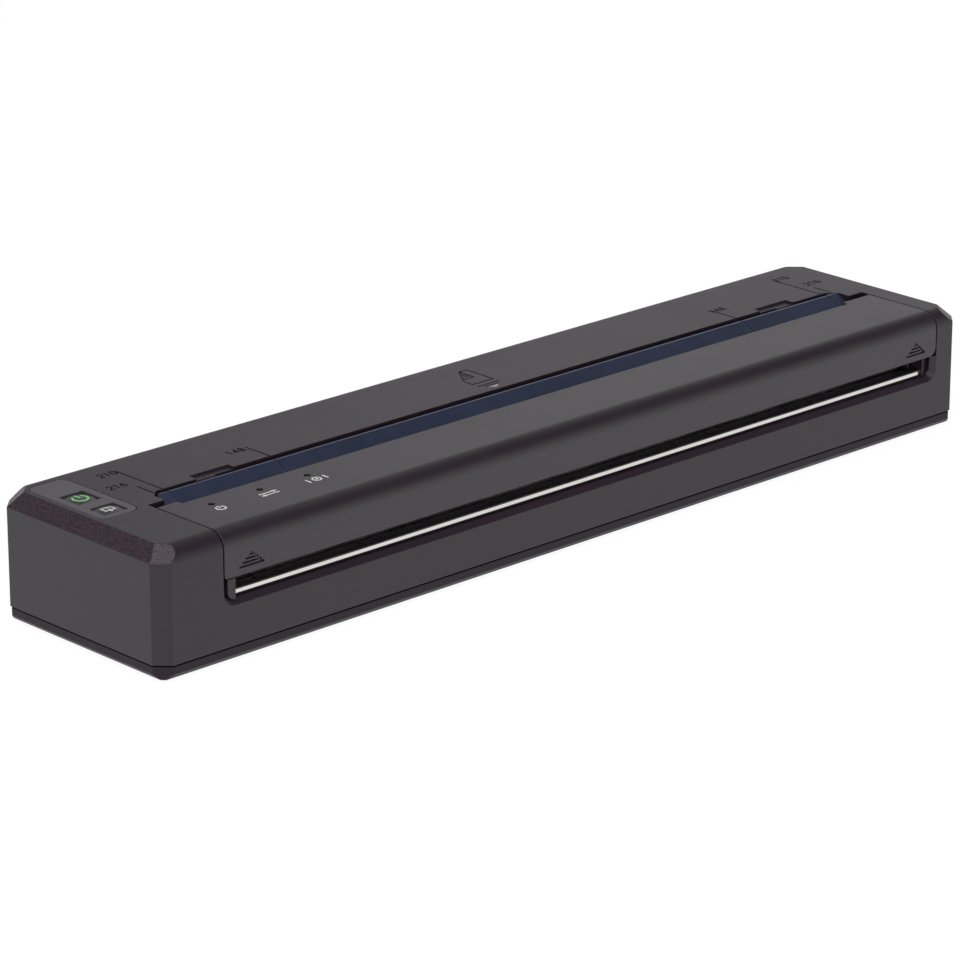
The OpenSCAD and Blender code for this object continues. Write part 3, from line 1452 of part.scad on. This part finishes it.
module battery_cells() {
    y = battery_y0 + battery_d / 2;
    z = battery_z0 + battery_h / 2;
    x0 = battery_x0 + 4.6;
    color("mediumseagreen") for (i = [0 : 1]) {
        rod_x(x0 + i * (cell_l + 0.6), x0 + i * (cell_l + 0.6) + cell_l - 1, y, z, cell_d);
        rod_x(x0 + i * (cell_l + 0.6) + cell_l - 1.1, x0 + i * (cell_l + 0.6) + cell_l, y, z, 6);
    }
}

module battery_contacts() {
    x = battery_x0 - 0.1;
    color(gold_c) for (i = [0 : 2]) {
        y = battery_y0 + 4.5 + i * 4.4;
        span_box([door_x0 - 1.15, y, battery_z0 + 2], [door_x0 - 0.8, y + 1, battery_z0 + 8]);
        span_box([door_x0 - 0.9, y, battery_z0 + 4.6], [x + 1, y + 1, battery_z0 + 5]);
    }
}

base_shell();
upper_housing();
release_cover();
guide_bar();
exit_guide();
tear_bar();
paper_guide();
left_side_plate();
right_side_plate();
head_beam();
print_head();
head_heatsink();
head_springs();
head_ribbon();
platen_roller();
platen_shaft();
platen_bushes();
platen_gear();
idler_gear();
reduction_gear();
motor_pinion();
gear_axles();
stepper_motor();
motor_screws();
hinge_pins();
frame_screws();
button_panel();
power_button();
feed_button();
button_board();
tact_switches();
indicator_board();
status_lights();
main_board();
processor();
board_chips();
capacitors();
wireless_module();
motor_flex();
io_board();
usb_socket();
dc_inlet();
paper_sensor();
battery_case();
battery_cells();
battery_contacts();
battery_door();
rubber_feet();
case_screws();
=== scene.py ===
"""Looks of a portable thermal printer for A4 sheets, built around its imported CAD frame.

Metres throughout. X runs along the paper width, -Y is the front with the paper exit, +Z is up.
"""

import json
import math

import bpy
import bmesh
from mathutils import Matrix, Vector


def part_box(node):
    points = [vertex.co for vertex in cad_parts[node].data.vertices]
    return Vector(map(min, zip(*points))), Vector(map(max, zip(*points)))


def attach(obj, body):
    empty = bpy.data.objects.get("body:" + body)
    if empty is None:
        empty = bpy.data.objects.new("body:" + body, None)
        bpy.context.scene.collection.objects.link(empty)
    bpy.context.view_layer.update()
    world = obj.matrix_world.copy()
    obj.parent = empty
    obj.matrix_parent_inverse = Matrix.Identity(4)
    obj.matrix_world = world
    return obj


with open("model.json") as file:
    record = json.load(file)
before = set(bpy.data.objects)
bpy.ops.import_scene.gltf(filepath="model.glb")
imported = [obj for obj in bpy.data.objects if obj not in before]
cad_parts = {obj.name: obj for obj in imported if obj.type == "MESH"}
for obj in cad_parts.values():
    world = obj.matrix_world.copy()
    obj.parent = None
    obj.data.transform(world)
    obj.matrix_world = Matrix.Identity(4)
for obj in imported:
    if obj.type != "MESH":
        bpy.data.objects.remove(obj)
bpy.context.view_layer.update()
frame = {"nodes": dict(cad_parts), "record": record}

MM = 0.001
NODES = frame["nodes"]
RECORD = frame["record"]
TOP_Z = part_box("upper_housing")[1].z / MM

# ---------- camera, light and floor ----------

AIM = Vector((-17.90, -9.06, 15.12)) * MM
AZIMUTH = math.radians(-43.42)
ELEVATION = math.radians(19.317)
DISTANCE = 1015.781 * MM
LENS_MM = 166.84
SENSOR_MM = 36.0


def direction(azimuth, elevation):
    """Unit vector from the object towards azimuth and elevation; azimuth 0 is the front."""
    flat = math.cos(elevation)
    return Vector((math.sin(azimuth) * flat, -math.cos(azimuth) * flat, math.sin(elevation)))


def make_camera():
    data = bpy.data.cameras.new("camera")
    data.lens = LENS_MM
    data.sensor_width = SENSOR_MM
    data.clip_start = 0.05
    data.clip_end = 50
    camera = bpy.data.objects.new("camera", data)
    bpy.context.scene.collection.objects.link(camera)
    back = direction(AZIMUTH, ELEVATION)
    camera.location = AIM + back * DISTANCE
    camera.rotation_mode = "QUATERNION"
    camera.rotation_quaternion = (-back).to_track_quat("-Z", "Y")
    bpy.context.scene.camera = camera


def softbox(name, towards, distance, size, power):
    """A square area light that faces the object from one direction."""
    data = bpy.data.lights.new(name, "AREA")
    data.shape = "SQUARE"
    data.size = size
    data.energy = power
    lamp = bpy.data.objects.new(name, data)
    bpy.context.scene.collection.objects.link(lamp)
    towards = Vector(towards).normalized()
    lamp.location = AIM + towards * distance
    lamp.rotation_mode = "QUATERNION"
    lamp.rotation_quaternion = (-towards).to_track_quat("-Z", "Y")
    return lamp


def make_lights():
    softbox("key", (-0.46, -0.42, 0.78), distance=2.4, size=0.75, power=34)
    softbox("overhead", (0.1, 0.15, 1.0), distance=2.2, size=1.2, power=8)
    softbox("rear_panel", (0.80, 0.50, 0.36), distance=1.5, size=1.1, power=0.9)


# ---------- node helpers ----------


class Graph:
    """Short calls for building a node tree."""

    def __init__(self, tree):
        self.tree = tree
        tree.nodes.clear()

    def add(self, kind, inputs=None, **settings):
        made = self.tree.nodes.new(kind)
        for key, value in settings.items():
            setattr(made, key, value)
        for key, value in (inputs or {}).items():
            self.put(made.inputs[key], value)
        return made

    def put(self, socket, value):
        """Links a socket or writes a plain value."""
        if isinstance(value, bpy.types.NodeSocket):
            self.tree.links.new(value, socket)
        else:
            socket.default_value = value

    def maths(self, operation, a, b=0.0):
        return self.add("ShaderNodeMath", {0: a, 1: b}, operation=operation).outputs[0]

    def noise(self, at, scale, detail, rough):
        """Noise round 0.5 at a point; a larger scale is finer."""
        inputs = {"Scale": scale, "Detail": detail, "Roughness": rough, "Vector": at}
        return self.add("ShaderNodeTexNoise", inputs).outputs["Fac"]

    def spread(self, value, low, high, start=0.0, end=1.0):
        """Maps value from start..end to low..high, held at both ends."""
        inputs = {"Value": value, "From Min": start, "From Max": end, "To Min": low, "To Max": high}
        return self.add("ShaderNodeMapRange", inputs).outputs["Result"]

    def blend(self, share, a, b):
        """Mixes two colours."""
        mix = self.add("ShaderNodeMix", data_type="RGBA")
        self.put(mix.inputs["Factor"], share)
        self.put(mix.inputs[6], a)
        self.put(mix.inputs[7], b)
        return mix.outputs[2]


def rgb(r, g, b):
    return (r, g, b, 1.0)


def shade(colour, factor):
    return rgb(*(channel * factor for channel in colour[:3]))


# How bright the studio is by the height of the view direction, 0 level and 1 straight up
SKY = [(0.0, 0.9), (0.22, 0.62), (0.36, 0.46), (0.55, 0.1), (0.8, 0.06), (1.0, 0.25)]


def make_world():
    """Pale at the horizon and darker above, and plain white where the camera looks past the floor."""
    world = bpy.data.worlds.new("studio")
    world.use_nodes = True
    bpy.context.scene.world = world
    g = Graph(world.node_tree)
    height = g.add("ShaderNodeSeparateXYZ", {"Vector": g.add("ShaderNodeTexCoord").outputs["Generated"]})
    ramp = g.add("ShaderNodeValToRGB", {"Fac": height.outputs["Z"]})
    while len(ramp.color_ramp.elements) < len(SKY):
        ramp.color_ramp.elements.new(0.5)
    for element, (place, level) in zip(ramp.color_ramp.elements, SKY):
        element.position = place
        element.color = rgb(level, level, level)
    sky = g.add("ShaderNodeBackground", {"Color": ramp.outputs["Color"], "Strength": 1.0})
    white = g.add("ShaderNodeBackground", {"Color": rgb(1, 1, 1), "Strength": 1.0})
    seen = g.add("ShaderNodeLightPath").outputs["Is Camera Ray"]
    mix = g.add("ShaderNodeMixShader", {0: seen, 1: sky.outputs[0], 2: white.outputs[0]})
    g.add("ShaderNodeOutputWorld", {"Surface": mix.outputs[0]})


FLOOR_RADIUS = 6.0
FLOOR_GLOW = 0.88  # share of white in what the camera and reflections see
FLOOR_WHITE = 1.06  # makes up for the share that keeps the shadow


def make_floor():
    """Pale floor that keeps a soft shadow and looks white to the camera and in reflections."""
    mesh = bpy.data.meshes.new("floor")
    shape = bmesh.new()
    bmesh.ops.create_circle(shape, cap_ends=True, segments=96, radius=FLOOR_RADIUS)
    shape.to_mesh(mesh)
    shape.free()
    floor = bpy.data.objects.new("floor", mesh)
    bpy.context.scene.collection.objects.link(floor)
    material = bpy.data.materials.new("studio_floor")
    material.use_nodes = True
    g = Graph(material.node_tree)
    path = g.add("ShaderNodeLightPath")
    seen = g.maths("MAXIMUM", path.outputs["Is Camera Ray"], path.outputs["Is Glossy Ray"])
    seen = g.maths("MAXIMUM", seen, path.outputs["Is Transmission Ray"])
    plain = g.add("ShaderNodeBsdfDiffuse", {"Color": rgb(0.84, 0.84, 0.84)})
    glow = g.add("ShaderNodeEmission", {"Color": rgb(1, 1, 1), "Strength": FLOOR_WHITE})
    share = g.maths("MULTIPLY", seen, FLOOR_GLOW)
    mix = g.add("ShaderNodeMixShader", {0: share, 1: plain.outputs[0], 2: glow.outputs[0]})
    g.add("ShaderNodeOutputMaterial", {"Surface": mix.outputs[0]})
    mesh.materials.append(material)


# ---------- materials ----------

EDGE = 0.25 * MM  # rounding of moulded edges
SLOT_FRONT = -25.8 * MM  # where the exit slot's inside starts, and with it the painted light on the ledge under the cover
GRAIN = 3600  # noise scale of spark-textured plastic
COARSE_GRAIN = 2300  # noise scale on the slanted ends
DRAWN_LINES = 4000  # noise scale across drawn metal


def principled(name, build):
    """Makes a material; build(g, shader) links its nodes and sets the shader's own sockets."""
    material = bpy.data.materials.new(name)
    material.use_nodes = True
    g = Graph(material.node_tree)
    shader = g.add("ShaderNodeBsdfPrincipled")
    build(g, shader)
    g.add("ShaderNodeOutputMaterial", {"Surface": shader.outputs[0]})
    return material


def place(g):
    """The point on the piece at rest, in metres."""
    return g.add("ShaderNodeTexCoord").outputs["Object"]


def bump(g, shader, height, depth, edge=0.0):
    """Adds a height to the shader's normal; edge rounds sharp edges by that radius."""
    inputs = {"Height": height, "Distance": depth}
    if edge:
        inputs["Normal"] = g.add("ShaderNodeBevel", {"Radius": edge}, samples=6).outputs[0]
    g.put(shader.inputs["Normal"], g.add("ShaderNodeBump", inputs).outputs[0])


def slanted_ends(g):
    """1 on the slanted faces and corners that join the top to the two ends, 0 elsewhere."""
    facing = g.add("ShaderNodeNewGeometry").outputs["True Normal"]
    axes = g.add("ShaderNodeSeparateXYZ", {"Vector": facing})
    across = g.maths("ABSOLUTE", axes.outputs["X"])
    sloping = g.spread(across, 0, 1, 0.3, 0.4)
    sideways = g.maths("MULTIPLY", sloping, g.spread(across, 1, 0, 0.85, 0.95))
    return g.maths("MULTIPLY", sideways, g.spread(axes.outputs["Z"], 0, 1, 0.35, 0.45))


def moulded(name, colour, roughness=0.42, gloss=0.5, coarse_ends=False, painted_light_inside=False):
    """Spark-textured ABS: fine grain, slight mottling, and where asked for a coarser grain on the
    slanted ends or painted light inside the exit slot, a paler tone standing in for light in the cover's
    shadow."""

    def build(g, shader):
        at = place(g)
        fine = g.noise(at, GRAIN, 2.0, 0.6)
        cloud = g.noise(at, 45, 3.0, 0.6)
        tone = g.blend(g.spread(fine, 0, 1, 0.35, 0.65), shade(colour, 0.80), shade(colour, 1.20))
        tone = g.blend(g.spread(cloud, 0, 0.4, 0.35, 0.7), tone, shade(colour, 1.2))
        height = g.spread(fine, 0, 0.35, 0.3, 0.7)
        if coarse_ends:
            ends = slanted_ends(g)
            dots = g.spread(g.noise(at, COARSE_GRAIN, 2.0, 0.7), 0, 1, 0.38, 0.66)
            warm = rgb(colour[0] * 1.15, colour[1] * 1.12, colour[2] * 0.92)
            rough_tone = g.blend(dots, shade(warm, 0.35), shade(warm, 3.2))
            tone = g.blend(ends, tone, rough_tone)
            height = g.maths("ADD", height, g.maths("MULTIPLY", ends, dots))
        if painted_light_inside:
            # painted light: a much paler tone inside the exit slot, where the cover's shadow falls on
            # the ledge
            depth = g.add("ShaderNodeSeparateXYZ", {"Vector": at}).outputs["Y"]
            tone = g.blend(g.spread(depth, 0, 1, SLOT_FRONT, SLOT_FRONT + MM), tone, shade(colour, 3.2))
        g.put(shader.inputs["Base Color"], tone)
        g.put(shader.inputs["Roughness"], g.spread(cloud, roughness - 0.01, roughness + 0.01, 0.3, 0.7))
        shader.inputs["Specular IOR Level"].default_value = gloss
        bump(g, shader, height, 0.00004, EDGE)

    return principled(name, build)


def satin(name, colour, roughness, gloss=0.5, edge=0.0):
    """Smooth moulded plastic with hardly any grain."""

    def build(g, shader):
        at = place(g)
        cloud = g.noise(at, 120, 3.0, 0.55)
        fine = g.noise(at, 2600, 1.0, 0.5)
        tone = g.blend(g.spread(cloud, 0, 1, 0.3, 0.7), shade(colour, 0.9), shade(colour, 1.12))
        g.put(shader.inputs["Base Color"], tone)
        g.put(shader.inputs["Roughness"], g.spread(cloud, roughness - 0.03, roughness + 0.04, 0.3, 0.7))
        shader.inputs["Specular IOR Level"].default_value = gloss
        bump(g, shader, fine, 0.000008, edge)

    return principled(name, build)


def brushed(name, colour, roughness, along="X"):
    """Metal with fine drawn lines along one axis."""

    def build(g, shader):
        stretch = {"X": (0.02, 1, 1), "Y": (1, 0.02, 1), "Z": (1, 1, 0.02)}[along]
        drawn = g.add("ShaderNodeMapping", {"Vector": place(g), "Scale": stretch})
        scratch = g.noise(drawn.outputs[0], DRAWN_LINES, 2.0, 0.6)
        cloud = g.noise(place(g), 80, 2.0, 0.5)
        g.put(shader.inputs["Base Color"], g.blend(scratch, shade(colour, 0.82), shade(colour, 1.08)))
        both = g.maths("ADD", scratch, cloud)
        g.put(shader.inputs["Roughness"], g.spread(both, roughness - 0.06, roughness + 0.1, 0.7, 1.3))
        shader.inputs["Metallic"].default_value = 1.0
        shader.inputs["Anisotropic"].default_value = 0.4
        bump(g, shader, scratch, 0.000006)

    return principled(name, build)


def rubber(name, colour):
    """Ground rubber: matt, with fine rings left by grinding."""

    def build(g, shader):
        at = place(g)
        rings = g.add("ShaderNodeMapping", {"Vector": at, "Scale": (1, 0.05, 0.05)})
        ground = g.noise(rings.outputs[0], 5000, 2.0, 0.6)
        dust = g.noise(at, 300, 3.0, 0.6)
        dusty = g.spread(dust, 0, 1, 0.45, 0.8)
        g.put(shader.inputs["Base Color"], g.blend(dusty, colour, shade(colour, 1.7)))
        g.put(shader.inputs["Roughness"], g.spread(ground, 0.62, 0.78, 0.3, 0.7))
        bump(g, shader, ground, 0.00001)

    return principled(name, build)


def circuit(name, mask, copper):
    """Solder mask over copper tracks, with tinned pads."""

    def build(g, shader):
        at = place(g)
        tones = {"Color1": rgb(0, 0, 0), "Color2": rgb(0.3, 0.3, 0.3), "Mortar": rgb(1, 1, 1)}
        grid = g.add("ShaderNodeTexBrick", {"Vector": at, "Scale": 260.0, "Mortar Size": 0.03, **tones})
        pads = g.add("ShaderNodeTexVoronoi", {"Vector": at, "Scale": 420.0}).outputs["Distance"]
        tracks = g.spread(grid.outputs["Fac"], 0, 1, 0.3, 0.7)
        dots = g.spread(pads, 1, 0, 0.12, 0.16)
        colour = g.blend(g.maths("MULTIPLY", tracks, 0.5), mask, copper)
        g.put(shader.inputs["Base Color"], g.blend(dots, colour, rgb(0.62, 0.6, 0.55)))
        g.put(shader.inputs["Metallic"], g.maths("MULTIPLY", dots, 0.9))
        g.put(shader.inputs["Roughness"], g.spread(tracks, 0.38, 0.3))
        bump(g, shader, g.maths("ADD", tracks, dots), 0.00002)

    return principled(name, build)


def clear_wrap(name, colour):
    """Shrink sleeve round a cell: thin glossy film with faint wrinkles."""

    def build(g, shader):
        at = place(g)
        wrinkle = g.noise(at, 90, 4.0, 0.6)
        g.put(shader.inputs["Base Color"], g.blend(wrinkle, shade(colour, 0.85), shade(colour, 1.15)))
        g.put(shader.inputs["Roughness"], g.spread(wrinkle, 0.2, 0.34))
        bump(g, shader, wrinkle, 0.0001)

    return principled(name, build)


def make_materials():
    """One material for each slot of the record, and one for the exit guide alone."""
    charcoal = rgb(0.0165, 0.0092, 0.0165)
    steel = rgb(0.62, 0.62, 0.60)
    return {
        "housing_plastic": moulded("housing_plastic", charcoal, 0.42, coarse_ends=True),
        # the exit guide's own material, with painted light inside the slot
        "exit_guide": moulded("exit_guide_painted_light_plastic", charcoal, 0.42, painted_light_inside=True),
        "base_plastic": moulded("base_plastic", shade(charcoal, 0.9), 0.55, gloss=0.3),
        "cover_plastic": moulded("cover_plastic", shade(charcoal, 0.85), 0.40, gloss=0.7),
        "blue_plastic": satin("blue_plastic", rgb(0.0115, 0.0185, 0.0500), 0.34, edge=EDGE),
        "black_plastic": satin("black_plastic", rgb(0.009, 0.009, 0.010), 0.4),
        "bright_metal": brushed("bright_metal", rgb(0.74, 0.73, 0.69), 0.3),
        "plated_steel": brushed("plated_steel", steel, 0.32, "Y"),
        "spring_steel": brushed("spring_steel", rgb(0.5, 0.51, 0.53), 0.24, "Y"),
        "ceramic": satin("ceramic", rgb(0.55, 0.52, 0.45), 0.22),
        "aluminium": brushed("aluminium", rgb(0.72, 0.73, 0.74), 0.38),
        "flex_cable": satin("flex_cable", rgb(0.42, 0.19, 0.03), 0.28),
        "platen_rubber": rubber("platen_rubber", rgb(0.018, 0.018, 0.02)),
        "turned_steel": brushed("turned_steel", rgb(0.66, 0.66, 0.65), 0.2, "Y"),
        "bush_plastic": satin("bush_plastic", rgb(0.05, 0.05, 0.055), 0.35),
        "gear_plastic": satin("gear_plastic", rgb(0.68, 0.67, 0.60), 0.34),
        "brass": brushed("brass", rgb(0.72, 0.52, 0.22), 0.26, "Y"),
        "motor_can": brushed("motor_can", rgb(0.55, 0.55, 0.54), 0.3),
        "screw_steel": brushed("screw_steel", rgb(0.2, 0.2, 0.21), 0.34, "Z"),
        "panel_plastic": satin("panel_plastic", rgb(0.062, 0.056, 0.062), 0.40, edge=EDGE),
        "button_plastic": satin("button_plastic", rgb(0.040, 0.036, 0.040), 0.36, edge=EDGE),
        "circuit_board": circuit("circuit_board", rgb(0.012, 0.085, 0.035), rgb(0.03, 0.16, 0.06)),
        "chip_plastic": satin("chip_plastic", rgb(0.014, 0.014, 0.015), 0.45),
        "light_pipe": satin("light_pipe", rgb(0.006, 0.006, 0.007), 0.15),
        "capacitor_can": brushed("capacitor_can", rgb(0.66, 0.67, 0.68), 0.28, "Z"),
        "shield_metal": brushed("shield_metal", rgb(0.6, 0.6, 0.58), 0.35),
        "cell_wrap": clear_wrap("cell_wrap", rgb(0.04, 0.23, 0.10)),
        "foot_rubber": rubber("foot_rubber", rgb(0.02, 0.02, 0.021)),
    }


def dress_frame(materials):
    """Gives every CAD node its own material or the one of its slot."""
    for part in RECORD["subparts"]:
        mesh = NODES[part["node"]].data
        mesh.materials.clear()
        mesh.materials.append(materials.get(part["node"]) or materials[part["material_slot"]])
        for face in mesh.polygons:
            face.material_index = 0


# ---------- printed signs, and moulded marks drawn as painted shade and painted highlight ---

PRINT_T = 0.03  # how thick a printed sign or painted mark is, in mm
CROWN = 0.4  # how far a button's rim lies below its middle, in mm
FLANGE_D = 2.6  # diameter of a status light's flange, in mm
SIGN_DROP = 3.2  # from a status light forward to its sign, in mm
WEDGE_Z = 29.77  # just above the floor of the page mark, in mm
SHEET_X = 4.3  # middle of the sheet, in mm
# Number, its distance from the sheet's middle and its Y, in mm
WIDTH_MARKS = (("210", 108.0, 18.9), ("216", 111.4, 11.3), ("148", 77.4, 11.5))


def stretch(points, closed, step=0.35):
    """Adds points along a line, so that its stroke can follow a curved surface."""
    ends = points[1:] + points[:1] if closed else points[1:]
    fine = []
    for a, b in zip(points, ends):
        parts = math.ceil((b - a).length / step)
        fine += [a.lerp(b, i / parts) for i in range(parts)]
    return fine if closed else fine + points[-1:]


def ribbon(shape, points, width, closed=False):
    """Adds a flat stroke of one width along points, in mm, with mitred bends."""
    points = stretch([Vector(p) for p in points], closed)
    count = len(points)
    sides = []
    for i, point in enumerate(points):
        before = points[i - 1] if closed or i > 0 else None
        after = points[(i + 1) % count] if closed or i < count - 1 else None
        ways = [w.normalized() for w in (before and point - before, after and after - point) if w]
        along = sum(ways, Vector((0, 0))).normalized()
        across = Vector((-along.y, along.x))
        reach = width / 2 / max(abs(across.dot(Vector((-ways[0].y, ways[0].x)))), 0.5)
        sides.append([shape.verts.new((*(point + across * reach * s), 0)) for s in (-1, 1)])
    for i in range(count if closed else count - 1):
        a, b = sides[i], sides[(i + 1) % count]
        shape.faces.new((a[0], b[0], b[1], a[1]))


def patch(shape, points):
    """Adds a flat filled outline, in mm."""
    shape.faces.new([shape.verts.new((*p, 0)) for p in points])


def arc(centre, radius, start, end, steps=28):
    """Points on an arc, angles in degrees, 0 along +X."""
    turns = [math.radians(start + (end - start) * i / steps) for i in range(steps + 1)]
    return [(centre[0] + radius * math.cos(t), centre[1] + radius * math.sin(t)) for t in turns]


def sign(name, draw, at, body, material, height=lambda x, y: TOP_Z, size=1.0):
    """A thin printed or painted piece: draw(shape) makes it flat round (0, 0); height gives the surface.
    """
    shape = bmesh.new()
    draw(shape)
    bmesh.ops.recalc_face_normals(shape, faces=shape.faces)
    if shape.faces[0].normal.z < 0:
        bmesh.ops.reverse_faces(shape, faces=shape.faces)
    made = bmesh.ops.extrude_face_region(shape, geom=list(shape.faces))
    for vert in (v for v in made["geom"] if isinstance(v, bmesh.types.BMVert)):
        vert.co.z = PRINT_T
    bmesh.ops.recalc_face_normals(shape, faces=shape.faces)
    for vert in shape.verts:
        x, y = vert.co.x * size + at[0], vert.co.y * size + at[1]
        vert.co = Vector((x, y, height(x, y) - PRINT_T / 3 + vert.co.z)) * MM
    mesh = bpy.data.meshes.new(name)
    shape.to_mesh(mesh)
    shape.free()
    mesh.materials.append(material)
    piece = bpy.data.objects.new(name, mesh)
    bpy.context.scene.collection.objects.link(piece)
    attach(piece, body)
    return piece


DIGITS = {
    "0": [[(0.1, 0.3), (0.1, 1.7), (0.4, 2), (0.9, 2), (1.2, 1.7), (1.2, 0.3), (0.9, 0), (0.4, 0)]],
    "1": [[(0.2, 1.6), (0.65, 2), (0.65, 0)]],
    "2": [[(0.1, 1.6), (0.4, 2), (0.9, 2), (1.2, 1.6), (1.2, 1.3), (0.1, 0), (1.2, 0)]],
    "4": [[(0.9, 0), (0.9, 2), (0.05, 0.6), (1.25, 0.6)]],
    "6": [[(1.1, 1.9), (0.5, 1.8), (0.1, 1.1), (0.1, 0.3), (0.4, 0), (0.9, 0), (1.2, 0.3), (1.2, 0.8),
           (0.9, 1.1), (0.3, 1.05)]],
    "8": [[(0.4, 1.05), (0.15, 1.35), (0.15, 1.7), (0.4, 2), (0.9, 2), (1.15, 1.7), (1.15, 1.35),
           (0.9, 1.05)],
          [(0.4, 1.05), (0.1, 0.75), (0.1, 0.3), (0.4, 0), (0.9, 0), (1.2, 0.3), (1.2, 0.75),
           (0.9, 1.05)]],
}
CLOSED_DIGITS = "08"
DIGIT_STEP = 1.75


def number(shape, text, width=0.36):
    """Draws a plain number, 2 mm high, centred on the origin."""
    for i, digit in enumerate(text):
        left = (i - len(text) / 2) * DIGIT_STEP
        for line in DIGITS[digit]:
            ribbon(shape, [(left + x, y - 1) for x, y in line], width, digit in CLOSED_DIGITS)


def power_sign(shape, radius, width):
    """A ring open at the rear, with a stroke through the gap."""
    ribbon(shape, arc((0, 0), radius, 128, 412), width)
    ribbon(shape, [(0, radius * 0.05), (0, radius * 1.25)], width)


def data_sign(shape):
    """Two arrows that point opposite ways."""
    for y, way in ((0.45, 1), (-0.45, -1)):
        ribbon(shape, [(-1.9 * way, y), (1.2 * way, y)], 0.3)
        patch(shape, [(1.1 * way, y + 0.5), (2.0 * way, y), (1.1 * way, y - 0.5)])


def status_sign(shape):
    """A ring with a dot in it, between two strokes."""
    ribbon(shape, arc((0, 0), 0.8, 0, 345, 24), 0.28, closed=True)
    patch(shape, arc((0, 0), 0.3, 0, 330, 11))
    for x in (-1.9, 1.9):
        ribbon(shape, [(x, -0.8), (x, 0.8)], 0.3)


def feed_sign(shape):
    """A sheet with an arrow that leaves it towards the front."""
    ribbon(shape, [(-0.6, -0.7), (-1.3, -0.7), (-1.3, 1.1), (1.3, 1.1), (1.3, -0.7), (0.6, -0.7)], 0.32)
    ribbon(shape, [(0, 0.4), (0, -0.8)], 0.32)
    patch(shape, [(-0.6, -0.7), (0, -1.5), (0.6, -0.7)])


def wedge_sign(shape):
    """A flat triangle that points to the front: painted highlight of the lit sloped tip in the moulded
    page mark.
    """
    patch(shape, [(-2.3, 0.8), (0, -0.8), (2.3, 0.8)])


def crown_height(node):
    """The middle of a crowned button, and a function for the height of its surface, in mm."""
    a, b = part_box(node)
    middle = (a + b) / 2 / MM
    rim = (b.x - a.x) / 2 / MM
    radius = (rim * rim + CROWN * CROWN) / (2 * CROWN)

    def height(x, y):
        away = (x - middle.x) ** 2 + (y - middle.y) ** 2
        return b.z / MM - radius + math.sqrt(radius * radius - away)

    return middle, height


def make_signs(materials):
    white = satin("sign_white", rgb(0.78, 0.78, 0.76), 0.5)
    green = satin("sign_green", rgb(0.20, 0.66, 0.20), 0.45)
    # painted shade: near-black matte for the moulded width numbers, standing in for the shade inside
    # their engraved strokes
    engraving_shade = satin("engraving_shade_paint", rgb(0.002, 0.002, 0.003), 0.6, gloss=0.05)
    # painted highlight: light grey for the lit sloped tip inside the moulded page mark
    facet_highlight = satin("facet_highlight_paint", rgb(0.42, 0.42, 0.41), 0.5)
    low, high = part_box("status_lights")
    y = (low.y + high.y) / 2 / MM - SIGN_DROP
    first = low.x / MM + FLANGE_D / 2
    pitch = ((high.x - low.x) / MM - FLANGE_D) / 2
    signs = (("sign_power", lambda s: power_sign(s, 0.85, 0.3)), ("sign_data", data_sign),
             ("sign_status", status_sign))
    for i, (name, draw) in enumerate(signs):
        sign(name, draw, (first + i * pitch, y), "cover", white, size=1.3)
    middle, height = crown_height("power_button")
    sign("sign_power_key", lambda s: power_sign(s, 1.75, 0.42), (middle.x, middle.y), "power_key",
         green, height)
    middle, height = crown_height("feed_button")
    sign("sign_feed_key", feed_sign, (middle.x, middle.y), "feed_key", white, height)
    # painted highlight on the page mark's sloped tip
    sign("mark_wedge", wedge_sign, (1.0, 6.1), "chassis", facet_highlight, lambda x, y: WEDGE_Z)
    # engraved width numbers, drawn as painted shade on the deck
    for side, way in (("left", -1), ("right", 1)):
        for text, away, along in WIDTH_MARKS:
            sign("width_%s_%s" % (text, side), lambda s, t=text: number(s, t),
                 (SHEET_X + way * away, along), "chassis", engraving_shade)


make_camera()
make_lights()
make_world()
make_floor()
materials = make_materials()
dress_frame(materials)
make_signs(materials)

bpy.context.scene.view_settings.view_transform = "Standard"
